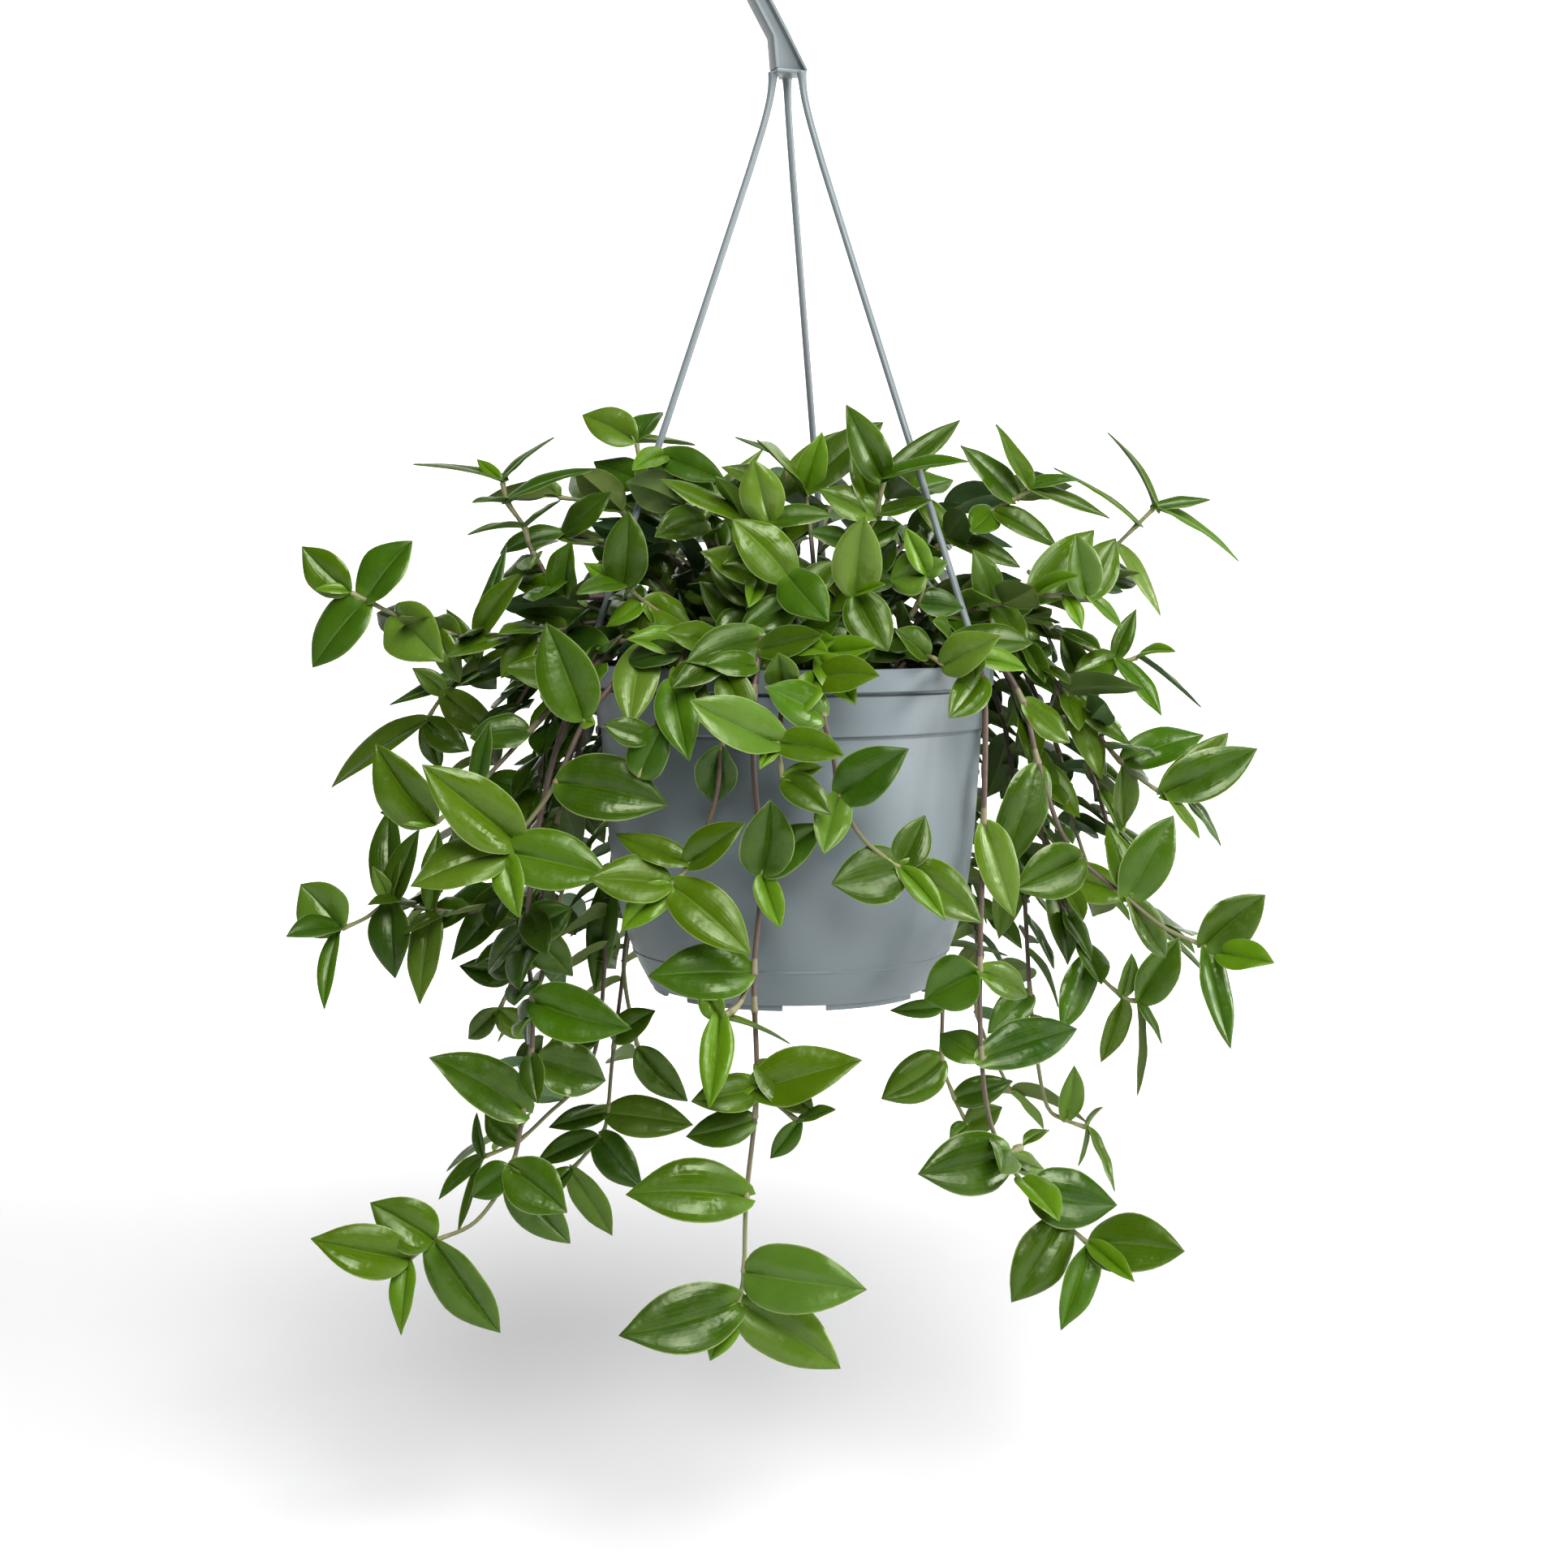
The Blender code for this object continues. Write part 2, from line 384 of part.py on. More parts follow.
def tube(centres, radii, sides, turn=0.0):
    """Points and faces of a closed tube along the centres."""
    points, faces = [], []
    across = None
    for number, centre in enumerate(centres):
        before = centres[max(number - 1, 0)]
        after = centres[min(number + 1, len(centres) - 1)]
        along = (after - before).normalized()
        if across is None:
            across = along.orthogonal()
            if abs(along.z) > 0.9:
                across = Vector((1.0, 0.0, 0.0))
        across = (across - along * across.dot(along)).normalized()
        upward = along.cross(across)
        for side in range(sides):
            angle = turn + 2 * math.pi * side / sides
            points.append(centre + radii[number] * (math.cos(angle) * across + math.sin(angle) * upward))
    for ring in range(len(centres) - 1):
        for side in range(sides):
            following = (side + 1) % sides
            low, high = ring * sides, (ring + 1) * sides
            faces.append((low + side, low + following, high + following, high + side))
    end = (len(centres) - 1) * sides
    faces.append(tuple(reversed(range(sides))))
    faces.append(tuple(range(end, end + sides)))
    return points, faces


def stem_tube(route, radius, end_radius, extra=0.0):
    """A stem's tube, thinner towards its tip, with extra added to its radius."""
    centres = curve_through(route, STEM_SPACING)
    last = len(centres) - 1
    radii = [radius + (end_radius - radius) * number / last + extra for number in range(last + 1)]
    return tube(centres, radii, STEM_SIDES, math.pi / STEM_SIDES)


def leaf_axes(leaf):
    """Length, direction, side and face direction of a leaf."""
    along = leaf["tip"] - leaf["base"]
    length = along.length
    along.normalize()
    side = along.cross(leaf["facing"])
    if side.length < LEAST_SIDE:
        side = along.cross(OTHER_FACING)
    side.normalize()
    return length, along, side, side.cross(along)


def blade(leaf, extra=0.0, first=0):
    """Points and faces of one leaf: an arched blade with a sharp edge all round.

    Each station of a large leaf has its left edge, the rib's top, its right edge and the rib's underside,
    folded along the rib, and both faces are split into triangles alike. A small leaf has a flat upper face
    over its rib. A blade that starts at a later station is its outer part alone.
    """
    length, along, side, face = leaf_axes(leaf)
    half_width = leaf["width"] / 2 + extra
    half_thick = RIB_THICK / 2 + extra
    large = length > LARGE_LEAF
    corners = 4 if large else 3
    points, faces = [], []
    if first == 0:
        points.append(leaf["base"] - along * (ROOT + extra))
    stations = LARGE_STATIONS if large else SMALL_STATIONS
    for place, share in stations[first:]:
        arch = LEAF_ARCH * length * 4 * place * (1 - place)
        rib = leaf["base"] + along * (place * length) + face * arch
        rise = face * (LEAF_FOLD * half_width * share)
        left, right = rib - side * (half_width * share), rib + side * (half_width * share)
        if large:
            points += [left + rise, rib + face * half_thick, right + rise, rib - face * half_thick]
        else:
            points += [left + face * half_thick, right + face * half_thick, rib - face * half_thick]
    points.append(leaf["tip"] + along * extra)
    start = 1 - min(first, 1)
    if first == 0:
        faces += [(0, start + corner, start + (corner + 1) % corners) for corner in range(corners)]
    else:
        faces.append(tuple(reversed(range(corners))))
    rings = len(stations) - first
    for ring in range(rings - 1):
        low, high = start + ring * corners, start + (ring + 1) * corners
        for corner in range(corners):
            following = (corner + 1) % corners
            if corner in (0, 2):
                faces += [(low + corner, high + corner, high + following),
                          (low + corner, high + following, low + following)]
            else:
                faces += [(low + corner, high + corner, low + following),
                          (low + following, high + corner, high + following)]
    end, tip = start + (rings - 1) * corners, len(points) - 1
    faces += [(end + (corner + 1) % corners, end + corner, tip) for corner in range(corners)]
    return points, faces


def item(shape):
    """A shape's limits and its search tree."""
    points, faces = shape
    low = [min(point[axis] for point in points) for axis in range(3)]
    high = [max(point[axis] for point in points) for axis in range(3)]
    return low, high, BVHTree.FromPolygons(points, faces)


def is_clear(shape, items):
    """True if the shape cuts none of the items."""
    low, high, tree = item(shape)
    for other_low, other_high, other in items:
        apart = any(low[axis] > other_high[axis] or high[axis] < other_low[axis] for axis in range(3))
        if not apart and tree.overlap(other):
            return False
    return True


def others(placed, name):
    """The items of every node but this one."""
    return [entry for owner, items in placed.items() if owner != name for entry in items]


def with_foot(foot, points):
    """A stem's route from its foot in its hole, up out of the soil and through its points."""
    return [Vector((*foot, SOIL_TOP - HOLE_DEPTH + GAP)), Vector((*foot, SOIL_TOP + FOOT_RISE))] + points


def settle_route(placed, name, route, fixed):
    """The route, moved a little past its fixed points where the stem would cut something, or None."""
    near = others({owner: items for owner, items in placed.items() if owner != "soil"}, name)
    for shift in ROUTE_SHIFTS:
        moved = [point + Vector(shift) * min(1.0, max(0, number - fixed + 1) / 2)
                 for number, point in enumerate(route)]
        if is_clear(stem_tube(moved, STEM_RADIUS, STEM_END_RADIUS, CLEAR), near):
            return moved
    return None


def settle_leaf(placed, outer, name, leaf):
    """The leaf, changed as little as makes it clear of everything else, or None; it joins what is placed."""
    near = others(placed, name)
    reach = leaf["tip"] - leaf["base"]
    for size in LEAF_SIZES:
        for roll in LEAF_ROLLS:
            for shift in LEAF_SHIFTS:
                changed = dict(leaf, width=leaf["width"] * size)
                changed["tip"] = leaf["base"] + (reach + leaf["slide"] * shift) * size
                turn = Matrix.Rotation(math.radians(roll), 3, reach.normalized())
                changed["facing"] = turn @ leaf["facing"]
                if is_clear(blade(changed, CLEAR), near) and is_clear(blade(changed, 0.0, 1), outer[name]):
                    placed[name].append(item(blade(changed)))
                    outer[name].append(item(blade(changed, 0.0, 1)))
                    return changed
    return None


def seen_leaf(draw, route, leaf, fixed):
    """A leaf of a stem that the front view shows, from its row in the list, turned a little outwards."""
    place, across, up, nearer, width, tilt, *young = leaf
    base = smooth_point(route, place + fixed)
    angle = math.radians(tilt)
    depth = base.y - nearer + draw.uniform(-DEPTH_SPREAD, DEPTH_SPREAD)
    return {
        "base": base, "tip": seen(across, up, depth), "width": width, "young": bool(young),
        "facing": Vector((base.x * OUTWARD_TURN, -math.sin(angle), math.cos(angle))).normalized(),
        "slide": Vector((0.0, 1.0, 0.0)),
    }


def hidden_leaf(draw, route, number, turn, young=False):
    """A leaf of a stem that the front view hides: to one side, outwards and up to the light."""
    base = route[number]
    before = route[number - 1]
    along = (base - before).normalized()
    outward = Vector((base.x, base.y, 0.0)).normalized()
    level = Vector((-outward.y, outward.x, 0.0))
    length = draw.uniform(*(HIDDEN_YOUNG_LENGTH if young else HIDDEN_LENGTH))
    reach = level * math.sin(turn) + along * math.cos(turn) * 0.8 + outward * draw.uniform(0.2, 0.7)
    reach += Vector((0.0, 0.0, draw.uniform(-0.25, 0.25)))
    facing = outward * draw.uniform(0.4, 0.8) + Vector((0.0, 0.0, 0.8))
    return {
        "base": base, "tip": base + reach.normalized() * length, "young": young,
        "width": length * draw.uniform(*HIDDEN_WIDTH),
        "facing": facing.normalized(), "slide": facing.normalized(),
    }


def hidden_leaves(draw, route, first):
    """Alternate leaves along a route, then three at its tip, the last one young."""
    leaves = []
    last = len(route) - 1
    for number in range(first, last):
        turn = math.radians(draw.uniform(60, 85)) * (1 if number % 2 else -1)
        leaves.append(hidden_leaf(draw, route, number, turn))
    for turn in (55, -55):
        leaves.append(hidden_leaf(draw, route, last, math.radians(turn + draw.uniform(-12, 12))))
    leaves.append(hidden_leaf(draw, route, last, math.radians(draw.uniform(-15, 15)), young=True))
    return leaves


def hanging_route(draw, bearing, crest, reach, drop):
    """Over the rim and down, with the tip turned outwards."""
    points = [bearing_vector(bearing) * SHOULDER + Vector((0.0, 0.0, crest * SHOULDER_CREST)),
              bearing_vector(bearing) * OVER_RIM + Vector((0.0, 0.0, crest * RIM_CREST))]
    steps = max(2, round((crest + drop) / HIDDEN_SPACING))
    for step in range(1, steps + 1):
        share = step / steps
        radius = OVER_RIM + (reach - OVER_RIM) * math.sin(share * math.pi / 2)
        radius += TIP_TURN * max(0.0, share - TIP_SHARE) / (1 - TIP_SHARE)
        sway = bearing + draw.uniform(-HANGING_SWAY, HANGING_SWAY)
        height = crest * RIM_CREST - (crest + drop) * share
        points.append(bearing_vector(sway) * radius + Vector((0.0, 0.0, height)))
    return points


def rising_route(draw, bearing, reach, height):
    """Up out of the pot and outwards to a tip above the rim."""
    steps = max(2, round(math.hypot(reach, height) / HIDDEN_SPACING))
    points = []
    for step in range(1, steps + 1):
        share = step / steps
        sway = bearing + draw.uniform(-RISING_SWAY, RISING_SWAY)
        level = bearing_vector(sway) * (RISE_START + (reach - RISE_START) * share ** RISE_BEND)
        points.append(level + Vector((0.0, 0.0, height * math.sin(share * math.pi / 2))))
    return points


def add_stem(placed, stems, name, route, rows):
    """Add a stem where it is clear; False if there is no room for it."""
    settled = settle_route(placed, name, route, FIXED_POINTS)
    if settled:
        placed[name] = [item(stem_tube(settled, STEM_RADIUS, STEM_END_RADIUS))]
        stems.append({"name": name, "route": settled, "shoots": [], "rows": rows})
    return bool(settled)


def add_hidden_stem(placed, stems, draw, name, make_route, row, foot_radii):
    """Add a stem that the front view hides, drawn again until it is clear."""
    for _ in range(DRAWS):
        foot = bearing_vector(row[0] + draw.uniform(-FOOT_SWAY, FOOT_SWAY)) * draw.uniform(*foot_radii)
        if add_stem(placed, stems, name, with_foot((foot.x, foot.y), make_route(draw, *row)), None):
            return


def grow():
    """Every leafy stem: its name, its route, the routes of its side shoots and its leaves."""
    placed = {"pot": [item(pot_shape())], "soil": [item(soil_shape())],
              "hanger": [item(shape) for shape in hanger_shapes()]}
    stems = []
    for name, foot, points, leaves in FRONT_STEMS:
        route = with_foot(foot, [seen(*point) for point in points])
        add_stem(placed, stems, "stem_" + name, route, leaves)
    draw = random.Random(SEED)
    for number, row in enumerate(HANGING_STEMS, 1):
        name = f"stem_back_hanging_{number}"
        add_hidden_stem(placed, stems, draw, name, hanging_route, row, HANGING_FEET)
    for number, row in enumerate(RISING_STEMS, 1):
        name = f"stem_rising_{number}"
        add_hidden_stem(placed, stems, draw, name, rising_route, row, RISING_FEET)
    outer = {stem["name"]: [] for stem in stems}
    by_name = {stem["name"]: stem for stem in stems}
    for name, number, points, leaves in SIDE_SHOOTS:
        stem = by_name["stem_" + name]
        route = [stem["route"][number + FIXED_POINTS]] + [seen(*point) for point in points]
        stem["shoots"].append((route, leaves))
        placed[stem["name"]].append(item(stem_tube(route, SHOOT_RADIUS, SHOOT_RADIUS)))
    for stem in stems:
        if stem["rows"] is None:
            wanted = hidden_leaves(draw, stem["route"], FIXED_POINTS + 1)
        else:
            wanted = [seen_leaf(draw, stem["route"], leaf, FIXED_POINTS) for leaf in stem["rows"]]
        for route, leaves in stem["shoots"]:
            wanted += [seen_leaf(draw, route, leaf, 1) for leaf in leaves]
        settled = [settle_leaf(placed, outer, stem["name"], leaf) for leaf in wanted]
        stem["leaves"] = [leaf for leaf in settled if leaf]
    return stems


def to_row(point):
    """A point in metres from the hook's seat."""
    return (point[0] * METRES, point[1] * METRES, (point[2] - SEAT_ABOVE_RIM) * METRES)


def finish(name, color, roughness):
    """A plain material of the part's colour."""
    material = bpy.data.materials.new(name)
    material.use_nodes = True
    shader = material.node_tree.nodes["Principled BSDF"]
    shader.inputs["Base Color"].default_value = (*color, 1.0)
    shader.inputs["Roughness"].default_value = roughness
    shader.inputs["Metallic"].default_value = 0.0
    return material


def make(name, shape, material):
    """A mesh object of the shape, in metres."""
    points, faces = shape
    mesh = bpy.data.meshes.new(name)
    mesh.from_pydata([to_row(point) for point in points], [], faces)
    mesh.update()
    mesh.shade_smooth()
    mesh.set_sharp_from_angle(angle=math.radians(30))
    mesh.materials.append(material)
    piece = bpy.data.objects.new(name, mesh)
    bpy.context.scene.collection.objects.link(piece)
    return piece


def join(target, shapes, operation):
    """One Boolean of the target with all the shapes, applied; the shapes' objects are then removed."""
    operands = bpy.data.collections.new("operands")
    bpy.context.scene.collection.children.link(operands)
    for number, shape in enumerate(shapes):
        operand = make(f"operand_{number}", shape, target.data.materials[0])
        bpy.context.scene.collection.objects.unlink(operand)
        operands.objects.link(operand)
    modifier = target.modifiers.new("join", "BOOLEAN")
    modifier.operation = operation
    modifier.operand_type = "COLLECTION"
    modifier.collection = operands
    modifier.solver = "EXACT"
    bpy.context.view_layer.update()
    evaluated = target.evaluated_get(bpy.context.evaluated_depsgraph_get())
    mesh = bpy.data.meshes.new_from_object(evaluated)
    target.modifiers.remove(modifier)
    target.data = mesh
    for operand in list(operands.objects):
        bpy.data.objects.remove(operand)
    bpy.data.collections.remove(operands)
    return target


def fill_voids(mesh):
    """Fill the slivers of space that are shut in where shapes meet: only the outer surface is kept."""
    shell = bmesh.new()
    shell.from_mesh(mesh)
    left = set(shell.faces)
    groups = []
    while left:
        group = [left.pop()]
        for face in group:
            near = {other for edge in face.edges for other in edge.link_faces} & left
            left -= near
            group += near
        groups.append(group)
    groups.sort(key=len)
    inner = [face for group in groups[:-1] for face in group]
    bmesh.ops.delete(shell, geom=inner, context="FACES")
    shell.to_mesh(mesh)
    shell.free()


def turned(outline, sides):
    """Points and faces of a closed outline, (radius, height) pairs, turned about the axis.

    The outline runs anticlockwise with the radius to the right, and starts and ends on the axis.
    """
    points = [Vector((0.0, 0.0, outline[0][1])), Vector((0.0, 0.0, outline[-1][1]))]
    rings = outline[1:-1]
    for radius, height in rings:
        for side in range(sides):
            angle = 2 * math.pi * side / sides
            points.append(Vector((radius * math.cos(angle), radius * math.sin(angle), height)))
    faces = []
    end = 2 + (len(rings) - 1) * sides
    for side in range(sides):
        following = (side + 1) % sides
        faces.append((0, 2 + following, 2 + side))
        faces.append((1, end + side, end + following))
        for ring in range(len(rings) - 1):
            low, high = 2 + ring * sides, 2 + (ring + 1) * sides
            faces.append((low + side, low + following, high + following, high + side))
    return points, faces


def box(size, place):
    """Points and faces of a box of this size, moved by the matrix from the middle of its base."""
    points = [place @ Vector((x * size[0] / 2, y * size[1] / 2, z * size[2]))
              for z in (0, 1) for x, y in ((-1, -1), (1, -1), (1, 1), (-1, 1))]
    faces = [(3, 2, 1, 0), (4, 5, 6, 7), (0, 1, 5, 4), (1, 2, 6, 5), (2, 3, 7, 6), (3, 0, 4, 7)]
    return points, faces


def at_bearing(degrees, height):
    """Matrix whose X axis points along the bearing, at a height on the axis."""
    return Matrix.Translation((0.0, 0.0, height)) @ Matrix.Rotation(math.radians(degrees - 90), 4, "Z")


def pot_shape():
    """The plain shell of the pot."""
    foot = BASE - FOOT_HEIGHT
    ring = [(0.0, BASE), (FOOT_INNER, BASE), (FOOT_INNER, foot), (FOOT_OUTER, foot)]
    return turned(ring + OUTSIDE + INSIDE + [(0.0, BASE + WALL)], POT_SIDES)


def pot(material):
    """The pot with its foot ring cut into segments and its drainage holes."""
    shell = make("pot", pot_shape(), material)
    cuts = []
    for number in range(FOOT_GAPS):
        bearing = FOOT_TURN + 360 * number / FOOT_GAPS
        place = at_bearing(bearing, BASE - 2 * FOOT_HEIGHT) @ Matrix.Translation((FOOT_OUTER, 0.0, 0.0))
        cuts.append(box((12.0, FOOT_GAP_WIDTH, 2 * FOOT_HEIGHT), place))
    for number in range(DRAIN_HOLES):
        middle = bearing_vector(360 * (number + 0.5) / DRAIN_HOLES) * DRAIN_CIRCLE
        ends = [middle + Vector((0.0, 0.0, BASE - WALL)), middle + Vector((0.0, 0.0, BASE + 2 * WALL))]
        cuts.append(tube(ends, [DRAIN_RADIUS] * 2, 6))
    return join(shell, cuts, "DIFFERENCE")


def soil_shape():
    """The plain fill of soil, clear of the pot all round."""
    wall = [(radius - SOIL_GAP, height) for radius, height in reversed(INSIDE[1:-1])]
    radius, height = INSIDE[-1]
    rim_radius, step_radius = INSIDE[0][0], INSIDE[1][0]
    top_radius = rim_radius + (step_radius - rim_radius) * SOIL_TOP / INSIDE[1][1] - SOIL_GAP
    bottom = height + GAP
    top = [(top_radius, SOIL_TOP), (0.0, SOIL_TOP)]
    return turned([(0.0, bottom), (radius - SOIL_GAP, bottom), *wall, *top], POT_SIDES)


def soil(material, stems):
    """The soil with a plain hole for the foot of each stem."""
    holes = []
    for stem in stems:
        foot = stem["route"][0]
        ends = [Vector((foot.x, foot.y, SOIL_TOP + rise)) for rise in (-HOLE_DEPTH, HOLE_DEPTH)]
        radius = STEM_RADIUS + GAP / math.cos(math.pi / STEM_SIDES)
        holes.append(tube(ends, [radius] * 2, STEM_SIDES, math.pi / STEM_SIDES))
    return join(make("soil", soil_shape(), material), holes, "DIFFERENCE")


def hook_centres():
    """The hook's middle line in its own plane from the head up: across, up and the width there."""
    crook = []
    for step in range(CROOK_STEPS + 1):
        share = step / CROOK_STEPS
        angle = CROOK_START + (CROOK_END - CROOK_START) * share
        crook.append((HOOK_RADIUS * math.cos(angle), HOOK_CENTRE + HOOK_RADIUS * math.sin(angle),
                      CROOK_WIDTH - CROOK_TAPER * share))
    across, up, _ = crook[-1]
    return ARM + crook + [(across + LIP[0], up + LIP[1], LIP[2])]


def hook_shape():
    """The ribbed arm and crook: an H section with a flange along each edge."""
    centres = hook_centres()
    turn = Matrix.Rotation(HOOK_TURN, 3, "Z")
    points, faces = [], []
    for number, (across, up, width) in enumerate(centres):
        before = centres[max(number - 1, 0)]
        after = centres[min(number + 1, len(centres) - 1)]
        along = Vector((after[0] - before[0], 0.0, after[1] - before[1])).normalized()
        if number == 0:
            along = Vector((0.0, 0.0, 1.0))
        outward = Vector((-along.z, 0.0, along.x))
        half, inner = width / 2, width / 2 - FLANGE
        deep, thin = HOOK_DEPTH / 2, WEB / 2
        near = [(-half, -deep), (-inner, -deep), (-inner, -thin)]
        near += [(-offset, depth) for offset, depth in reversed(near)]
        section = near + [(-offset, -depth) for offset, depth in near]
        for offset, depth in section:
            points.append(turn @ (Vector((across, depth, up)) - outward * offset))
    corners = 12
    for ring in range(len(centres) - 1):
        for corner in range(corners):
            following = (corner + 1) % corners
            low, high = ring * corners, (ring + 1) * corners
            faces.append((low + corner, low + following, high + following, high + corner))
    end = (len(centres) - 1) * corners
    faces.append(tuple(reversed(range(corners))))
    faces.append(tuple(range(end, end + corners)))
    return points, faces


def strand_points(degrees, across):
    """A strand's middle line: down out of the hub, in a soft bend outwards, then straight to the rim."""
    outward = bearing_vector(degrees)
    offset = HEAD_OFFSET + Vector((across, 0.0, 0.0))
    points = []
    for height in STRAND_HEIGHTS:
        straight = STRAND_END - STRAND_SLOPE * (height - CLIP_TOP) - STRAND_START
        radius = STRAND_START + (straight + math.hypot(straight, 2 * STRAND_BEND)) / 2
        share = (height - CLIP_TOP) / (STRAND_HEIGHTS[0] - CLIP_TOP)
        points.append(outward * radius + offset * share + Vector((0.0, 0.0, height)))
    return points


def hanger_shapes():
    """The hook, the hub below it, and each strand with its clip over the rim's band."""
    hub_low = HEAD_OFFSET + Vector((0.0, 0.0, HEAD_BOTTOM - HUB_BELOW))
    hub_high = HEAD_OFFSET + Vector((0.0, 0.0, HEAD_BOTTOM + HUB_ABOVE))
    shapes = [hook_shape(), tube([hub_low, hub_high], [HUB_RADIUS * HUB_TAPER, HUB_RADIUS], 8)]
    outer = RIM_RADIUS + GAP + CLIP_THICK
    low = -BAND_HEIGHT - GAP - TOE
    for degrees, across in STRANDS.values():
        radii = [STRAND_WIDTH / 2] * len(STRAND_HEIGHTS)
        shapes.append(tube(strand_points(degrees, across), radii, 4, math.pi / 4))
        plate = at_bearing(degrees, low) @ Matrix.Translation((outer - CLIP_THICK / 2, 0.0, 0.0))
        shapes.append(box((CLIP_THICK, CLIP_WIDTH, CLIP_TOP - low), plate))
        bridge = at_bearing(degrees, GAP) @ Matrix.Translation((outer - BRIDGE_LENGTH / 2 - STEP, 0.0, 0.0))
        shapes.append(box((BRIDGE_LENGTH, CLIP_WIDTH + STEP, CLIP_TOP - GAP + STEP), bridge))
        toe = Matrix.Translation((outer - TOE_LENGTH / 2 - STEP, 0.0, 0.0))
        toe = at_bearing(degrees, low + STEP) @ toe
        shapes.append(box((TOE_LENGTH, CLIP_WIDTH - STEP, TOE - STEP), toe))
    return shapes


def hanger(material):
    """The hanger, one moulded piece."""
    first, *rest = hanger_shapes()
    return join(make("hanger", first, material), rest, "UNION")


def leafy_stem(stem, material):
    """One stem with its side shoots and leaves fused to it."""
    target = make(stem["name"], stem_tube(stem["route"], STEM_RADIUS, STEM_END_RADIUS), material)
    parts = [stem_tube(route, SHOOT_RADIUS, SHOOT_RADIUS) for route, _ in stem["shoots"]]
    parts += [blade(leaf) for leaf in stem["leaves"]]
    fill_voids(join(target, parts, "UNION").data)


def build():
    for old in list(bpy.data.objects):
        bpy.data.objects.remove(old)
    stems = grow()
    pot(finish("pot plastic", (0.15, 0.185, 0.205), 0.42))
    soil(finish("potting soil", (0.035, 0.024, 0.017), 0.95), stems)
    hanger(finish("hanger plastic", (0.20, 0.245, 0.27), 0.38))
    leaf_green = finish("leaves", (0.06, 0.17, 0.008), 0.35)
    for stem in stems:
        leafy_stem(stem, leaf_green.copy())


build()
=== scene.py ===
"""The looks of a trailing tradescantia in a hanging pot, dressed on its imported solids.

Lengths are millimetres from the middle of the pot's rim, X to the right, Y away from the front and Z up,
and meshes are written in metres from the hook's seat. The stems and leaves grow here by the same rule and
draws as the solids, so each fine piece lies where its solid lies.
"""
import math
import random

import bpy
import numpy as np
from mathutils import Matrix, Vector, noise
from mathutils.bvhtree import BVHTree


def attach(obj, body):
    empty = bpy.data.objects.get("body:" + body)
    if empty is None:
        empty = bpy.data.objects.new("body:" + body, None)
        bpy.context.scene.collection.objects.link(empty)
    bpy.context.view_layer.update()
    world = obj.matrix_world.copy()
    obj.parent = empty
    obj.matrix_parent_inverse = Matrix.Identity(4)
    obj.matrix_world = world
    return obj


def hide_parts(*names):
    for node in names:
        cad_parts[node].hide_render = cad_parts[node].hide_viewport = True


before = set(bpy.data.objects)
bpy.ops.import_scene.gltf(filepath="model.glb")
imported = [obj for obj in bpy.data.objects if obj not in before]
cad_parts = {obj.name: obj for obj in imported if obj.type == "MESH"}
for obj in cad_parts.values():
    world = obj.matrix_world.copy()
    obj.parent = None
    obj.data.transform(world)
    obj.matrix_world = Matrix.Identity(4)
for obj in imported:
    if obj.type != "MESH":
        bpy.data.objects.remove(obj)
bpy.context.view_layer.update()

METRES = 0.001
# Radians that a draw of a direction takes for one turn
FULL_TURN = 6.28
SEAT_ABOVE_RIM = 278.0
GAP = 0.3

# Pot
RIM_RADIUS = 75.0
BAND_HEIGHT = 8.0
WALL = 1.2
BASE = -119.2
FOOT_HEIGHT = 2.1
FOOT_INNER = 50.0
FOOT_OUTER = 53.0
POT_SIDES = 24
OUTSIDE = [
    (FOOT_OUTER, BASE), (57.4, -110.5), (61.0, -101.5), (64.0, -91.5), (66.4, -78.0), (68.4, -60.0),
    (70.6, -24.5),
    (71.9, -23.0), (73.4, -BAND_HEIGHT), (RIM_RADIUS, -BAND_HEIGHT), (RIM_RADIUS, 0.0),
]
INSIDE = [(72.6, 0.0), (70.7, -23.0), (67.0, -60.0), (62.4, -92.5), (55.6, -111.2), (51.4, BASE + WALL)]
FOOT_GAPS = 6
FOOT_GAP_WIDTH = 15.5
FOOT_TURN = 5.0
DRAIN_HOLES = 6
DRAIN_RADIUS = 3.5
DRAIN_CIRCLE = 36.0

# Soil
SOIL_TOP = -10.0
SOIL_GAP = 1.4 * GAP
HOLE_DEPTH = 12.0

# Hanger
HOOK_TURN = math.radians(20.0)
HOOK_RADIUS = 19.0
HOOK_CENTRE = 262.0
HOOK_DEPTH = 7.0
FLANGE = 1.2
WEB = 2.0
HEAD_BOTTOM = 214.3
# The arm from the head up: the middle across and up, and the width
ARM = [(-1.0, HEAD_BOTTOM, 12.4), (-5.4, 226.8, 6.2), (-13.0, 239.5, 6.2)]
CROOK_START = math.radians(207.0)
CROOK_END = math.radians(-28.0)
CROOK_STEPS = 10
CROOK_WIDTH = 6.2
CROOK_TAPER = 0.4
LIP = (1.5, -3.5, 4.4)
HUB_RADIUS = 5.8
HUB_TAPER = 0.86
HUB_BELOW = 1.6
HUB_ABOVE = 1.5
STRAND_WIDTH = 2.8
# The right, back and left strand: its bearing at the rim, and how far its upper end is moved across
STRANDS = [(60.0, 0.0), (168.0, -1.6), (-75.0, 0.0)]
STRAND_START = 4.6
STRAND_SLOPE = 0.352
STRAND_BEND = 1.9
CLIP_WIDTH = 4.6
CLIP_THICK = 1.5
CLIP_TOP = 3.0
BRIDGE_LENGTH = 5.7
TOE_LENGTH = 2.9
TOE = 1.6
# A tube that starts more upright than this takes its first corner from the X axis
STEEP = 0.9
